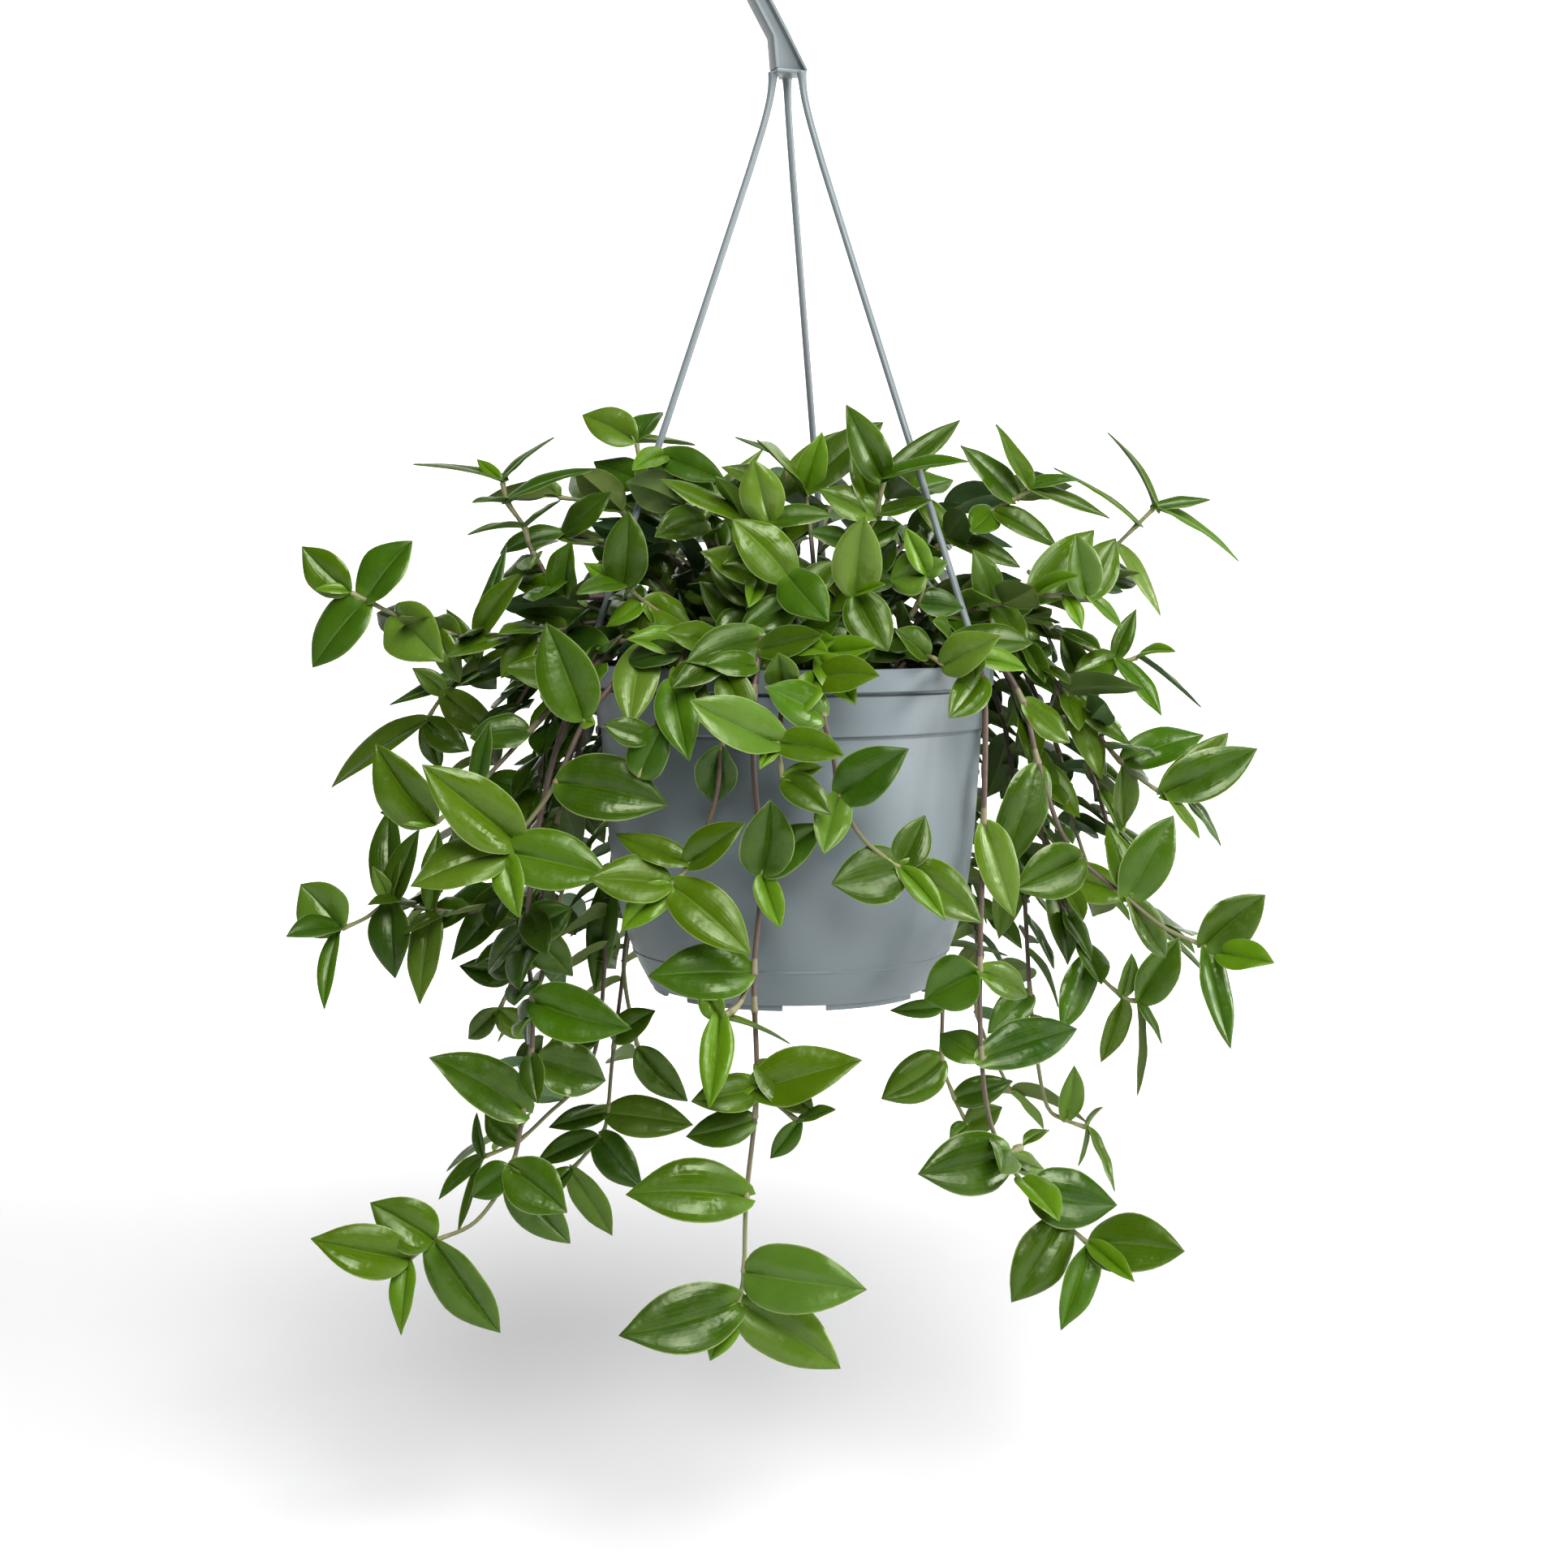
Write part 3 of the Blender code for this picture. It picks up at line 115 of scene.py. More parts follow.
# Keeps the faces of shapes that are fused from lying in one plane
STEP = 0.02
STRAND_END = RIM_RADIUS + GAP + CLIP_THICK / 2
STRAND_HEIGHTS = (HEAD_BOTTOM - 1.0, 205.0, 196.0, 184.0, 168.0, 90.0, 20.0, CLIP_TOP)
STRAND_SIDES = 4
HUB_SIDES = 8
HEAD_OFFSET = Vector((-1.2, 0.0, 0.0))

# Stems and leaves
STEM_RADIUS = 2.0
STEM_END_RADIUS = 1.4
STEM_SIDES = 3
RIB_THICK = 1.2
LEAF_ARCH = 0.03
LEAF_FOLD = 0.16
LARGE_LEAF = 38.0
LARGE_STATIONS = ((0.20, 0.84), (0.44, 1.05), (0.74, 0.70))
SMALL_STATIONS = ((0.28, 0.98), (0.64, 0.87))
ROOT = 0.2
CLEAR = 0.45
STEM_SPACING = 42.0
FOOT_RISE = 3.0
FIXED_POINTS = 2
DEPTH_SPREAD = 11.0
OUTWARD_TURN = 0.003
SHOOT_RADIUS = 1.0
# A leaf whose facing lies this nearly along it takes its side from this direction instead
LEAST_SIDE = 0.15
OTHER_FACING = Vector((0.3, 0.2, 1.0))

# Stems that the front view hides: where they stand, how they run and what their leaves measure
DRAWS = 30
HIDDEN_SPACING = 30.0
FOOT_SWAY = 8.0
HANGING_FEET = (36.0, 56.0)
RISING_FEET = (8.0, 32.0)
SHOULDER = 64.0
OVER_RIM = 82.0
SHOULDER_CREST = 0.8
RIM_CREST = 0.75
HANGING_SWAY = 3.0
TIP_TURN = 10.0
TIP_SHARE = 0.8
RISING_SWAY = 5.0
RISE_START = 24.0
RISE_BEND = 1.3
HIDDEN_LENGTH = (29.0, 35.8)
HIDDEN_YOUNG_LENGTH = (20.0, 24.0)
HIDDEN_WIDTH = (0.46, 0.55)
# How their leaves point: degrees from the stem, at its end too. Then the share of the stem's own direction,
# how far outwards and up, and how far the face turns outwards, against this much upwards
HIDDEN_TURN = (60, 85)
END_TURN = 55
END_SPREAD = 12
LAST_SPREAD = 15
HIDDEN_POINTING = (0.8, (0.2, 0.7), (-0.25, 0.25), (0.4, 0.8))
FACING_UP = 0.8

# What is tried in turn where a stem or a leaf would cut something: moves in millimetres, turns of a leaf
# about its rib in degrees, and a leaf's size as a share of its full size
ROUTE_SHIFTS = [(0, 0, 0)] + [(x, y, z) for reach in (3, 6, 9) for y in (reach, -reach)
                              for x in (0, reach / 2, -reach / 2) for z in (0, 2, -2)]
LEAF_SIZES = (1.0, 0.88, 0.76)
LEAF_ROLLS = (0, 16, -16, 32, -32)
LEAF_SHIFTS = (0, 4, -4, 8, -8, 12, -12, 17, -17)

# The point the front view is drawn from, used to set a point that the view shows at its own depth
EYE = Vector((-2.7, -810.0, 27.4))
YOUNG = True

# Every leafy stem that the front view shows: its name, its foot in the soil (X, Y), the points that it
# passes (across and up as the front view shows them, and their own depth), and its leaves. A leaf is the
# number of the point that it grows from, its tip (across, up), how far the tip comes towards the viewer,
# its width, how far its face turns from upwards (0) to the viewer (90), and YOUNG for one just unfolding.
FRONT_STEMS = [
    ("front_long", (-10, -42),
     [(-11, 10, -60), (-12, 4, -74), (-14, -14, -80), (-14, -40, -81), (-11, -79, -81), (-14, -117, -80),
      (-13, -161, -78), (-17, -203, -77), (-18, -232, -76), (-20, -244, -76)],
     [(2, -24, -4, 4, 9, 60), (4, -8, -51, 12, 19, 90), (4, 13, -60, 0, 15, 70),
      (4, -4, -100, 6, 10, 80, YOUNG), (5, -54, -118, 4, 20, 60), (6, 27, -150, 4, 20, 62),
      (6, -38, -166, 2, 14, 55), (7, -63, -202, 4, 22, 64), (8, 29, -239, 10, 23, 68),
      (9, -66, -257, 12, 23, 68),
      (9, 19, -270, 12, 21, 75), (9, -31, -267, 12, 11, 80, YOUNG)]),
    ("front_middle", (0, -50),
     [(-2, 8, -68), (-3, -8, -80), (-4, -22, -85), (-5, -30, -87), (-3, -43, -88)],
     [(3, -38, -14, 14, 19, 62), (3, 20, -35, 4, 13, 60), (4, 12, -39, 6, 7, 60, YOUNG),
      (4, 15, -57, 6, 11, 70), (3, -12, -40, 6, 6, 70, YOUNG), (1, -5, 4, 0, 12, 80)]),
    ("front_left_low", (-22, -46),
     [(-23, 6, -66), (-25, -8, -77), (-26, -32, -78), (-29, -54, -78), (-38, -75, -79), (-45, -83, -80)],
     [(2, -29, -53, 2, 15, 90), (4, -17, -60, 2, 14, 60), (4, -66, -64, 0, 11, 50),
      (5, -76, -81, 5, 18, 55), (5, -15, -110, 5, 18, 60), (5, -64, -101, 10, 12, 80, YOUNG)]),
    ("front_left_short", (-33, -40),
     [(-38, 6, -64), (-44, -8, -74), (-52, -28, -78), (-57, -43, -79)],
     [(1, -29, -4, 6, 12, 70), (1, -38, -37, 4, 15, 80), (3, -47, -22, 8, 14, 80),
      (2, -70, -23, -2, 10, 70)]),
    ("left_brown", (-44, -26),
     [(-54, 6, -56), (-63, -4, -64), (-77, -22, -68), (-88, -45, -70), (-97, -58, -71), (-104, -66, -72),
      (-107, -71, -73)],
     [(0, -60, -24, 10, 16, 80), (2, -91, 15, 6, 21, 75), (2, -73, -23, 8, 6, 70, YOUNG),
      (3, -46, -54, 10, 23, 68), (5, -138, -38, 6, 22, 60), (6, -143, -84, 8, 20, 55),
      (6, -68, -80, 10, 21, 65), (6, -102, -96, 12, 12, 85, YOUNG)]),
    ("left_front", (-50, -12),
     [(-64, 8, -30), (-80, -6, -42), (-98, -26, -50), (-117, -46, -54), (-133, -60, -56)],
     [(4, -155, -30, 6, 20, 70), (4, -154, -56, 6, 8, 60, YOUNG), (3, -124, -76, 0, 14, 60),
      (2, -120, -28, -4, 14, 60), (1, -107, -2, -4, 14, 60), (3, -112, -22, 4, 9, 60)]),
    ("left_arm", (-50, 0),
     [(-66, 14, -14), (-96, 10, -24), (-117, 9, -28), (-132, 12, -30), (-146, 17, -32), (-158, 23, -34),
      (-164, 26, -35)],
     [(6, -181, 43, 4, 15, 75), (5, -140, 45, 6, 19, 75), (5, -178, -2, 8, 19, 80),
      (6, -177, 27, 2, 5, 60, YOUNG), (4, -129, 0, 18, 22, 75), (1, -108, -6, -4, 12, 80),
      (2, -98, 34, 2, 11, 80), (3, -123, -8, -8, 10, 80), (2, -105, 44, 2, 7, 60),
      (0, -104, 19, 4, 10, 50)]),
    ("left_high", (-42, 4),
     [(-58, 22, -14), (-84, 25, -20), (-96, 41, -20), (-99, 50, -20), (-105, 59, -20), (-107, 67, -20)],
     [(5, -140, 73, 0, 12, 8), (5, -87, 83, 0, 11, 12), (4, -72, 71, 6, 13, 25),
      (5, -116, 75, 0, 5, 40, YOUNG), (4, -118, 59, 6, 8, 30), (3, -85, 60, 0, 9, 10),
      (3, -120, 47, 4, 9, 8), (2, -86, 45, -4, 9, 30), (1, -81, 45, 2, 15, 60)]),
    ("left_crown", (-34, 18),
     [(-46, 26, 14), (-58, 36, 12), (-70, 44, 8), (-84, 47, 6)],
     [(3, -66, 63, 0, 13, 60), (3, -108, 40, 0, 13, 40), (2, -92, 48, 8, 12, 30),
      (1, -76, 27, 8, 14, 60), (0, -62, 52, 0, 14, 60)]),
    ("left_bright", (-34, -14),
     [(-42, 12, -28), (-54, 22, -34), (-62, 29, -37)],
     [(2, -60, 56, 4, 16, 88), (2, -77, 37, 6, 7, 60, YOUNG), (2, -80, 25, 8, 10, 50),
      (1, -69, 13, 10, 9, 50, YOUNG), (1, -60, 4, 8, 13, 80), (1, -36, 12, 0, 13, 60)]),
    ("left_top", (-26, 14),
     [(-34, 30, 16), (-46, 52, 20), (-54, 66, 22), (-57, 81, 22)],
     [(3, -77, 91, 0, 16, 62), (3, -47, 92, -4, 12, 45), (3, -35, 80, -8, 10, 25),
      (2, -73, 74, 0, 14, 60), (2, -41, 71, 0, 10, 50), (1, -66, 60, 2, 15, 60),
      (1, -26, 58, 0, 14, 50)]),
    ("crown_left", (-16, 2),
     [(-22, 30, -2), (-32, 52, -6), (-42, 70, -10), (-47, 76, -12)],
     [(3, -24, 67, 8, 13, 60), (3, -58, 70, 6, 9, 50, YOUNG), (1, -10, 79, -8, 10, 30),
      (1, -50, 46, 6, 14, 60), (2, -27, 58, 10, 12, 60), (0, -40, 24, 8, 14, 60)]),
    ("crown_front_left", (-14, -24),
     [(-15, 16, -40), (-12, 30, -48), (-9, 44, -50), (-8, 52, -50)],
     [(3, -14, 75, 4, 15, 80), (1, -34, 41, 4, 13, 60), (2, -26, 36, 14, 11, 60), (0, -28, 7, 8, 15, 70),
      (1, -16, 20, 10, 8, 70, YOUNG), (3, 16, 54, 6, 10, 50)]),
    ("crown_front", (2, -36),
     [(2, 10, -50), (1, 22, -58), (-1, 32, -62)],
     [(2, -22, 53, 8, 17, 72), (2, 14, 15, 12, 16, 75), (0, -5, 3, 14, 14, 80), (1, 18, 38, -4, 12, 50),
      (1, -20, 10, 6, 13, 70)]),
    ("crown_front_right", (16, -38),
     [(20, 6, -50), (23, 16, -56), (24, 25, -60)],
     [(2, 27, 54, 4, 17, 85), (2, 36, 4, 12, 16, 75), (2, 35, 29, 8, 6, 60, YOUNG),
      (0, 22, -2, 14, 15, 80), (0, 44, 2, 0, 11, 60)]),
    ("crown_middle", (10, -8),
     [(15, 24, -16), (24, 42, -26), (31, 54, -32), (34, 67, -34)],
     [(3, 20, 95, 6, 14, 78), (3, 66, 74, 8, 11, 40), (3, 62, 89, -8, 10, 45), (2, 10, 64, 10, 13, 62),
      (2, 52, 60, 0, 9, 40), (1, 6, 48, 6, 11, 50), (2, 22, 80, -6, 10, 60)]),
    ("crown_back", (-4, 10),
     [(-5, 26, 4), (-5, 46, -2), (-3, 62, -6), (-1, 74, -6)],
     [(2, 22, 86, 6, 14, 50), (3, -21, 83, -2, 9, 20), (2, -26, 72, 0, 13, 40), (1, 14, 58, 4, 12, 60),
      (1, -30, 50, 0, 14, 60)]),
    ("right_inner", (32, -24),
     [(40, 10, -38), (47, 22, -44), (50, 33, -46)],
     [(2, 42, 50, 4, 9, 85, YOUNG), (2, 36, 30, 8, 16, 75), (2, 58, 37, 2, 8, 60),
      (1, 64, 20, 4, 12, 60), (0, 34, 6, 8, 12, 70)]),
    ("right_rim", (44, -34),
     [(50, 2, -54), (57, -1, -60)],
     [(1, 78, 10, 6, 15, 65), (0, 38, 12, 4, 12, 60)]),
    ("front_right", (10, -54),
     [(11, 6, -68), (10, -6, -79), (12, -20, -83), (16, -36, -84), (18, -50, -84), (27, -66, -83),
      (41, -77, -80)],
     [(2, -10, -9, 8, 15, 72), (1, 33, -5, 8, 14, 65), (4, 44, -32, 6, 18, 70), (4, 12, -72, 8, 13, 88),
      (6, 15, -83, 8, 20, 70), (6, 72, -98, 4, 17, 66), (6, 50, -57, 4, 13, 60),
      (6, 58, -97, 14, 9, 80, YOUNG)]),
    ("right_brown", (52, -8),
     [(66, 8, -16), (76, -2, -22), (85, -17, -28), (91, -40, -32), (99, -64, -34), (107, -76, -36),
      (125, -91, -42), (139, -102, -46), (154, -109, -48), (160, -112, -49)],
     [(3, 77, -80, 12, 17, 78), (5, 84, -85, 14, 20, 75), (8, 178, -87, 6, 18, 70),
      (8, 166, -146, 8, 12, 85), (9, 182, -113, 6, 14, 70, YOUNG), (2, 104, -30, 4, 12, 60),
      (6, 118, -60, -4, 13, 60), (6, 143, -57, 6, 18, 78), (6, 141, -111, -4, 13, 70)]),
    ("right_arm", (50, 4),
     [(66, 14, 4), (84, 8, 4), (104, -14, 0), (123, -37, -4), (139, -49, -8), (147, -51, -9)],
     [(4, 163, -26, 0, 13, 50), (4, 174, -32, 10, 19, 60), (3, 154, -27, -6, 14, 60),
      (5, 161, -69, 2, 9, 35), (4, 153, -66, 6, 8, 20), (3, 124, -62, -2, 12, 80),
      (2, 116, -44, 4, 13, 70), (1, 98, -12, 6, 12, 60), (2, 127, -31, 6, 9, 55)]),
    ("right_mid", (46, 18),
     [(60, 22, 20), (80, 20, 22), (100, 10, 20), (120, 1, 18), (129, 2, 17)],
     [(3, 138, -20, 8, 10, 60), (4, 143, 4, 4, 8, 60, YOUNG), (4, 153, -17, 0, 8, 8),
      (3, 128, 20, 0, 8, 20), (3, 105, -4, 6, 12, 65), (2, 114, -21, 8, 12, 80), (1, 92, 4, 4, 13, 60),
      (1, 101, 8, 4, 11, 60)]),
    ("right_high", (38, 26),
     [(56, 26, 32), (84, 22, 36), (112, 34, 34), (120, 43, 32), (128, 51, 30), (134, 57, 29)],
     [(5, 116, 85, 0, 10, 16), (4, 96, 72, -4, 10, 14), (5, 155, 60, 0, 9, 30), (5, 166, 37, 0, 12, 24),
      (3, 137, 17, 6, 11, 40), (2, 128, 29, 0, 13, 60)]),
    ("right_top", (28, 8),
     [(42, 30, 0), (58, 46, -6), (74, 56, -10), (82, 60, -11), (88, 64, -12)],
     [(3, 62, 80, 6, 13, 55), (4, 75, 88, 2, 10, 40), (4, 118, 53, 4, 11, 34), (4, 106, 67, 8, 8, 40),
      (2, 66, 48, 8, 12, 60), (2, 99, 42, 0, 12, 55), (1, 44, 64, 0, 11, 40), (1, 85, 35, 4, 10, 50)]),
    ("right_bright", (44, -12),
     [(58, 16, -18), (74, 21, -22), (90, 24, -26), (101, 25, -28), (109, 25, -29)],
     [(4, 105, 48, 4, 15, 82), (4, 120, 46, -8, 15, 70), (2, 107, 32, 8, 9, 60, YOUNG),
      (3, 108, 12, 8, 7, 70, YOUNG), (1, 67, 42, 2, 12, 80), (1, 88, 6, 6, 13, 60),
      (0, 66, 2, 6, 11, 70), (2, 112, 49, -8, 17, 72), (4, 123, 12, -4, 6, 60)]),
    ("right_low", (54, -24),
     [(60, 8, -44), (68, 2, -54), (72, -14, -57), (72, -60, -57), (71, -116, -55), (72, -150, -53),
      (75, -172, -52), (81, -187, -53), (91, -201, -55), (103, -212, -57), (113, -221, -58)],
     [(4, 50, -127, 4, 21, 72), (5, 56, -140, -6, 14, 60), (5, 108, -138, -4, 17, 60),
      (7, 48, -194, 6, 22, 68), (7, 96, -192, -6, 9, 70), (8, 124, -206, -6, 21, 66),
      (9, 84, -244, 6, 19, 75), (10, 150, -224, 6, 21, 62), (10, 103, -255, 8, 14, 85),
      (10, 131, -236, 12, 9, 80, YOUNG), (3, 84, -96, -4, 15, 70), (4, 89, -126, -6, 12, 70)]),
    ("right_hanging", (50, 14),
     [(66, 8, 8), (80, -6, 10), (90, -40, 8), (98, -82, 4), (112, -114, 0), (125, -128, -2),
      (131, -130, -3)],
     [(6, 146, -103, 4, 17, 75), (6, 140, -144, 2, 7, 10), (6, 131, -164, 2, 8, 6),
      (4, 102, -139, 6, 13, 70), (5, 117, -151, 4, 11, 65), (5, 128, -109, -4, 8, 60),
      (2, 108, -58, 4, 13, 70), (3, 128, -88, 4, 16, 80), (3, 104, -114, 4, 15, 75)]),
    ("right_tail", (46, 30),
     [(62, 6, 38), (78, -18, 42), (86, -70, 38), (90, -125, 32), (93, -150, 30), (97, -168, 30),
      (104, -173, 30), (112, -176, 30)],
     [(7, 123, -201, 2, 8, 12), (7, 118, -168, 2, 7, 15), (7, 109, -191, 0, 6, 8),
      (6, 107, -152, 4, 11, 70), (3, 74, -140, 4, 13, 70), (2, 104, -92, 0, 14, 70),
      (2, 78, -104, 2, 14, 75)]),
    ("right_behind", (34, 40),
     [(44, 6, 60), (52, -24, 68), (56, -80, 60), (57, -130, 50), (57, -150, 48), (62, -165, 46),
      (67, -175, 45)],
     [(4, 34, -165, 6, 18, 70), (3, 37, -131, 4, 8, 60), (6, 80, -168, 2, 12, 80),
      (6, 60, -181, 2, 8, 60), (5, 84, -158, 0, 12, 70)]),
    ("left_middle", (-50, 12),
     [(-66, 10, 14), (-84, -10, 16), (-96, -50, 10), (-104, -84, 6), (-118, -93, 2), (-134, -93, -2),
      (-150, -90, -4), (-160, -96, -6), (-169, -100, -6)],
     [(8, -184, -83, 2, 22, 72), (8, -190, -103, 6, 13, 55), (8, -176, -131, 4, 9, 60),
      (6, -149, -119, 6, 18, 85), (5, -140, -129, 6, 14, 85), (6, -157, -76, 0, 7, 20),
      (3, -128, -112, 6, 16, 65), (6, -150, -54, -6, 15, 80), (5, -132, -62, -4, 11, 80),
      (2, -116, -44, 4, 14, 70), (6, -139, -62, -4, 13, 75)]),
    ("left_low", (-48, -22),
     [(-62, 8, -36), (-73, -2, -40), (-84, -22, -42), (-94, -60, -42), (-99, -100, -40),
      (-97, -127, -38), (-98, -150, -36), (-101, -169, -36), (-106, -191, -38), (-119, -211, -40),
      (-135, -219, -42), (-145, -226, -43)],
     [(5, -60, -138, 10, 21, 66), (7, -137, -149, 4, 20, 50), (8, -85, -209, 8, 20, 66),
      (8, -121, -203, -6, 13, 70), (10, -160, -205, -6, 19, 60), (11, -183, -219, 6, 20, 60),
      (10, -111, -256, 8, 20, 80), (11, -149, -257, 10, 11, 80, YOUNG), (6, -70, -158, -6, 21, 66),
      (4, -82, -92, 0, 15, 70), (8, -84, -221, -4, 17, 70), (4, -82, -118, -4, 14, 70)]),
    ("left_tail", (-34, 36),
     [(-46, 8, 52), (-60, -20, 58), (-68, -84, 54), (-73, -143, 46), (-82, -163, 42), (-92, -173, 40),
      (-104, -184, 37), (-117, -190, 34)],
     [(6, -116, -170, 4, 12, 70), (7, -119, -170, 0, 6, 15), (7, -134, -204, 2, 8, 50),
      (7, -127, -217, 2, 7, 15), (3, -96, -150, 0, 13, 70), (2, -74, -124, 0, 13, 75)]),
    ("left_back_low", (-22, 46),
     [(-30, 6, 64), (-42, -24, 72), (-58, -84, 66), (-67, -143, 56), (-70, -172, 52), (-73, -181, 51),
      (-84, -194, 49)],
     [(4, -92, -176, 4, 11, 55), (5, -56, -200, 4, 16, 82), (6, -68, -218, 4, 13, 72),
      (6, -100, -206, 4, 10, 60), (4, -37, -175, 4, 17, 60),
      (5, -97, -190, 2, 12, 60), (3, -51, -131, 2, 13, 70)]),
    ("left_side", (-46, 26),
     [(-64, 4, 34), (-78, -20, 36), (-88, -60, 30), (-95, -94, 24), (-104, -117, 22), (-110, -131, 20)],
     [(5, -122, -142, 2, 10, 80), (4, -125, -114, 2, 13, 70), (5, -98, -142, 0, 12, 75),
      (3, -110, -117, 2, 10, 75), (2, -112, -78, 2, 14, 70), (1, -98, -44, 4, 14, 70),
      (3, -122, -84, -2, 12, 65)]),
    ("left_far", (-44, 40),
     [(-64, 10, 44), (-92, 4, 40), (-116, -3, 32), (-129, -12, 26), (-136, -22, 22)],
     [(4, -172, -47, 4, 14, 50), (2, -150, -16, 2, 10, 45), (4, -131, -40, 4, 10, 75),
      (3, -108, -28, 6, 14, 65), (2, -128, 20, 0, 9, 30), (1, -106, -18, 6, 12, 80),
      (2, -102, 34, 0, 10, 30), (4, -120, -33, 0, 12, 70), (1, -125, -9, 4, 13, 60),
      (3, -141, -2, 0, 9, 50)]),
]

# Side shoots: the stem, the number of the point that the shoot leaves, its points and its leaves.
SIDE_SHOOTS = [
    ("front_long", 6, [(-4, -168, -80), (3, -174, -82)],
     [(1, 17, -169, 2, 7, 40), (1, -8, -188, 4, 8, 80)]),
    ("front_long", 5, [(-20, -129, -84), (-27, -134, -86)],
     [(1, -34, -120, 4, 9, 80), (1, 0, -144, -4, 7, 5), (1, -31, -169, 6, 12, 85, YOUNG)]),
    ("right_low", 7, [(88, -183, -48)], [(0, 98, -177, -4, 6, 15)]),
    ("left_low", 3, [(-100, -66, -34)], [(0, -112, -86, 0, 12, 60)]),
    ("left_back_low", 2, [(-63, -114, 63), (-58, -145, 61)], [(1, -39, -166, 4, 15, 80)]),
]

# Stems that the front view hides. A hanging one is its bearing from the front, its crest above the rim, its
# reach from the axis and its drop below the rim; a rising one is its bearing, its reach and its height.
HANGING_STEMS = [
    (205, 22, 104, 98), (226, 30, 122, 96), (246, 16, 112, 186), (152, 26, 116, 92), (131, 14, 106, 176),
    (188, 34, 132, 70), (172, 12, 100, 96), (112, 24, 124, 90), (262, 26, 128, 84), (97, 24, 130, 96),
]
RISING_STEMS = [
    (180, 96, 56), (215, 112, 44), (148, 108, 48), (250, 92, 62), (118, 86, 62), (196, 52, 62),
    (155, 46, 64), (20, 14, 62), (78, 36, 60), (282, 40, 58), (332, 35, 52),
]
SEED = 41

# Small leaves that fill the plant between its large ones
FILLER_SEED = 23
FILLER_SPACING = 6.5
FILLER_START = 24.0
FILLER_END = 26.0
FILLER_DRAWS = 12
FILLER_CLEAR = 0.3
FILLER_LENGTH = (18.0, 29.0)
FILLER_WIDTH = (0.46, 0.58)
FILLER_YOUNG = 0.12
# How they point: degrees from the stem, whose direction is measured over this reach, then as above
FILLER_TURN = (35, 95)
FILLER_REACH = 2.0
FILLER_POINTING = (1.0, (-0.2, 0.6), (-0.5, 0.35), (0.3, 0.9))
# How far a small leaf in front turns towards the light, and back to where
TOWARDS_LIGHT = 0.7
LIT_BEFORE = 30.0
# Where the photograph shows stems with their large leaves alone: in front, and mostly low down
BARE_BEFORE = -44.0
BARE_UNDER = -4.0
BARE_BELOW = -125.0
LOW_SHARE = 0.25
BARE_STEMS = ("stem_right_brown", "stem_left_brown")

# Stems in detail
STEM_FINE_RADIUS = 1.2
STEM_FINE_END = 0.75
STEM_FINE_SIDES = 10
SHOOT_TAPER = 0.8
SHOOT_AGE = 0.7
TRACE_STEPS = 12
STEM_STEP = 2.6
LEAST_STEP = 0.25
TIP_CLOSE = 0.5
# How much a node swells the stem and how far, and the pale sheath below it: its length, the step at its
# edge, and how much thicker it is at its foot and, on top of that, at the node
NODE_SWELL = 0.18
NODE_REACH = 1.5
SHEATH = 5.5
SHEATH_EDGE = 0.2
SHEATH_THICK = 0.08
SHEATH_FLARE = 0.16
NODE_STATIONS = (-SHEATH, -SHEATH + 0.4, -SHEATH / 2, -0.8, 0.0, 0.4, 1.6)

# Leaves in detail. The mesh of a large and a small leaf: places along the rib and out from it as shares
LEAF_SHARP = 50.0
LEAF_THICK = 0.56
EDGE_POWER = 5
ALONG = [0.0, 0.025, 0.06, 0.10, 0.15, 0.21, 0.28, 0.36, 0.44, 0.53, 0.62, 0.70, 0.78, 0.85, 0.91, 0.96]
HALF_ACROSS = [0.05, 0.16, 0.34, 0.54, 0.74, 0.90, 1.0]
ALONG_SMALL = [0.0, 0.03, 0.08, 0.15, 0.25, 0.37, 0.50, 0.63, 0.76, 0.87, 0.95]
HALF_ACROSS_SMALL = [0.06, 0.22, 0.48, 0.76, 1.0]
# What differs from leaf to leaf, drawn in this order: where it is widest, how pointed its tip, how lobed and
# how round its base, degrees of fold, how convex its halves, its bend, its sideways curve, degrees of twist,
# and the height, number and start of its waves
LOOK_SEED = 7
LEAF_RANGES = {
    "widest": (0.35, 0.43), "point": (1.0, 1.25), "lobe": (0.0, 0.09), "round": (1.9, 2.7), "fold": (6, 24),
    "bulge": (0.05, 0.12), "bend": (-0.025, 0.045), "sway": (-0.035, 0.035), "twist": (-24, 24),
    "wave": (0.02, 0.08), "waves": (1.2, 2.4), "phase": (0, FULL_TURN),
}
YOUNG_FOLD = (14, 30)
LARGE_TONES = (0.1, 1.0)
# Small leaves take darker tones than large ones: painted shade for the inside of the plant, where most of
# them lie
SMALL_PAINTED_SHADE_TONES = (0.0, 0.55)
# What every leaf shares: its width against the solid's and the least of it, how its tip rounds, how much
# more it folds at its base and how far along, how its edges droop, how deep and wide its rib is sunk, where
# its twist is nothing, how much earlier its arch is, and how far its lobes reach
WIDEN = 1.05
LEAST_WIDTH = 0.12
TIP_ROUND = 2.2
BASE_FOLD = 1.6
BASE_FOLD_REACH = 0.10
EDGE_DROOP = 0.07
RIB_SINK = 0.28
RIB_REACH = 0.07
TWIST_MIDDLE = 0.4
ARCH_SKEW = 0.03
LOBE_REACH = 0.09
# The parts of a leafy stem by material, and the markings that the materials read
LEAF, UNDERSIDE, STEM = range(3)
MARKS = ("across", "along", "tone", "young", "age", "sheath")

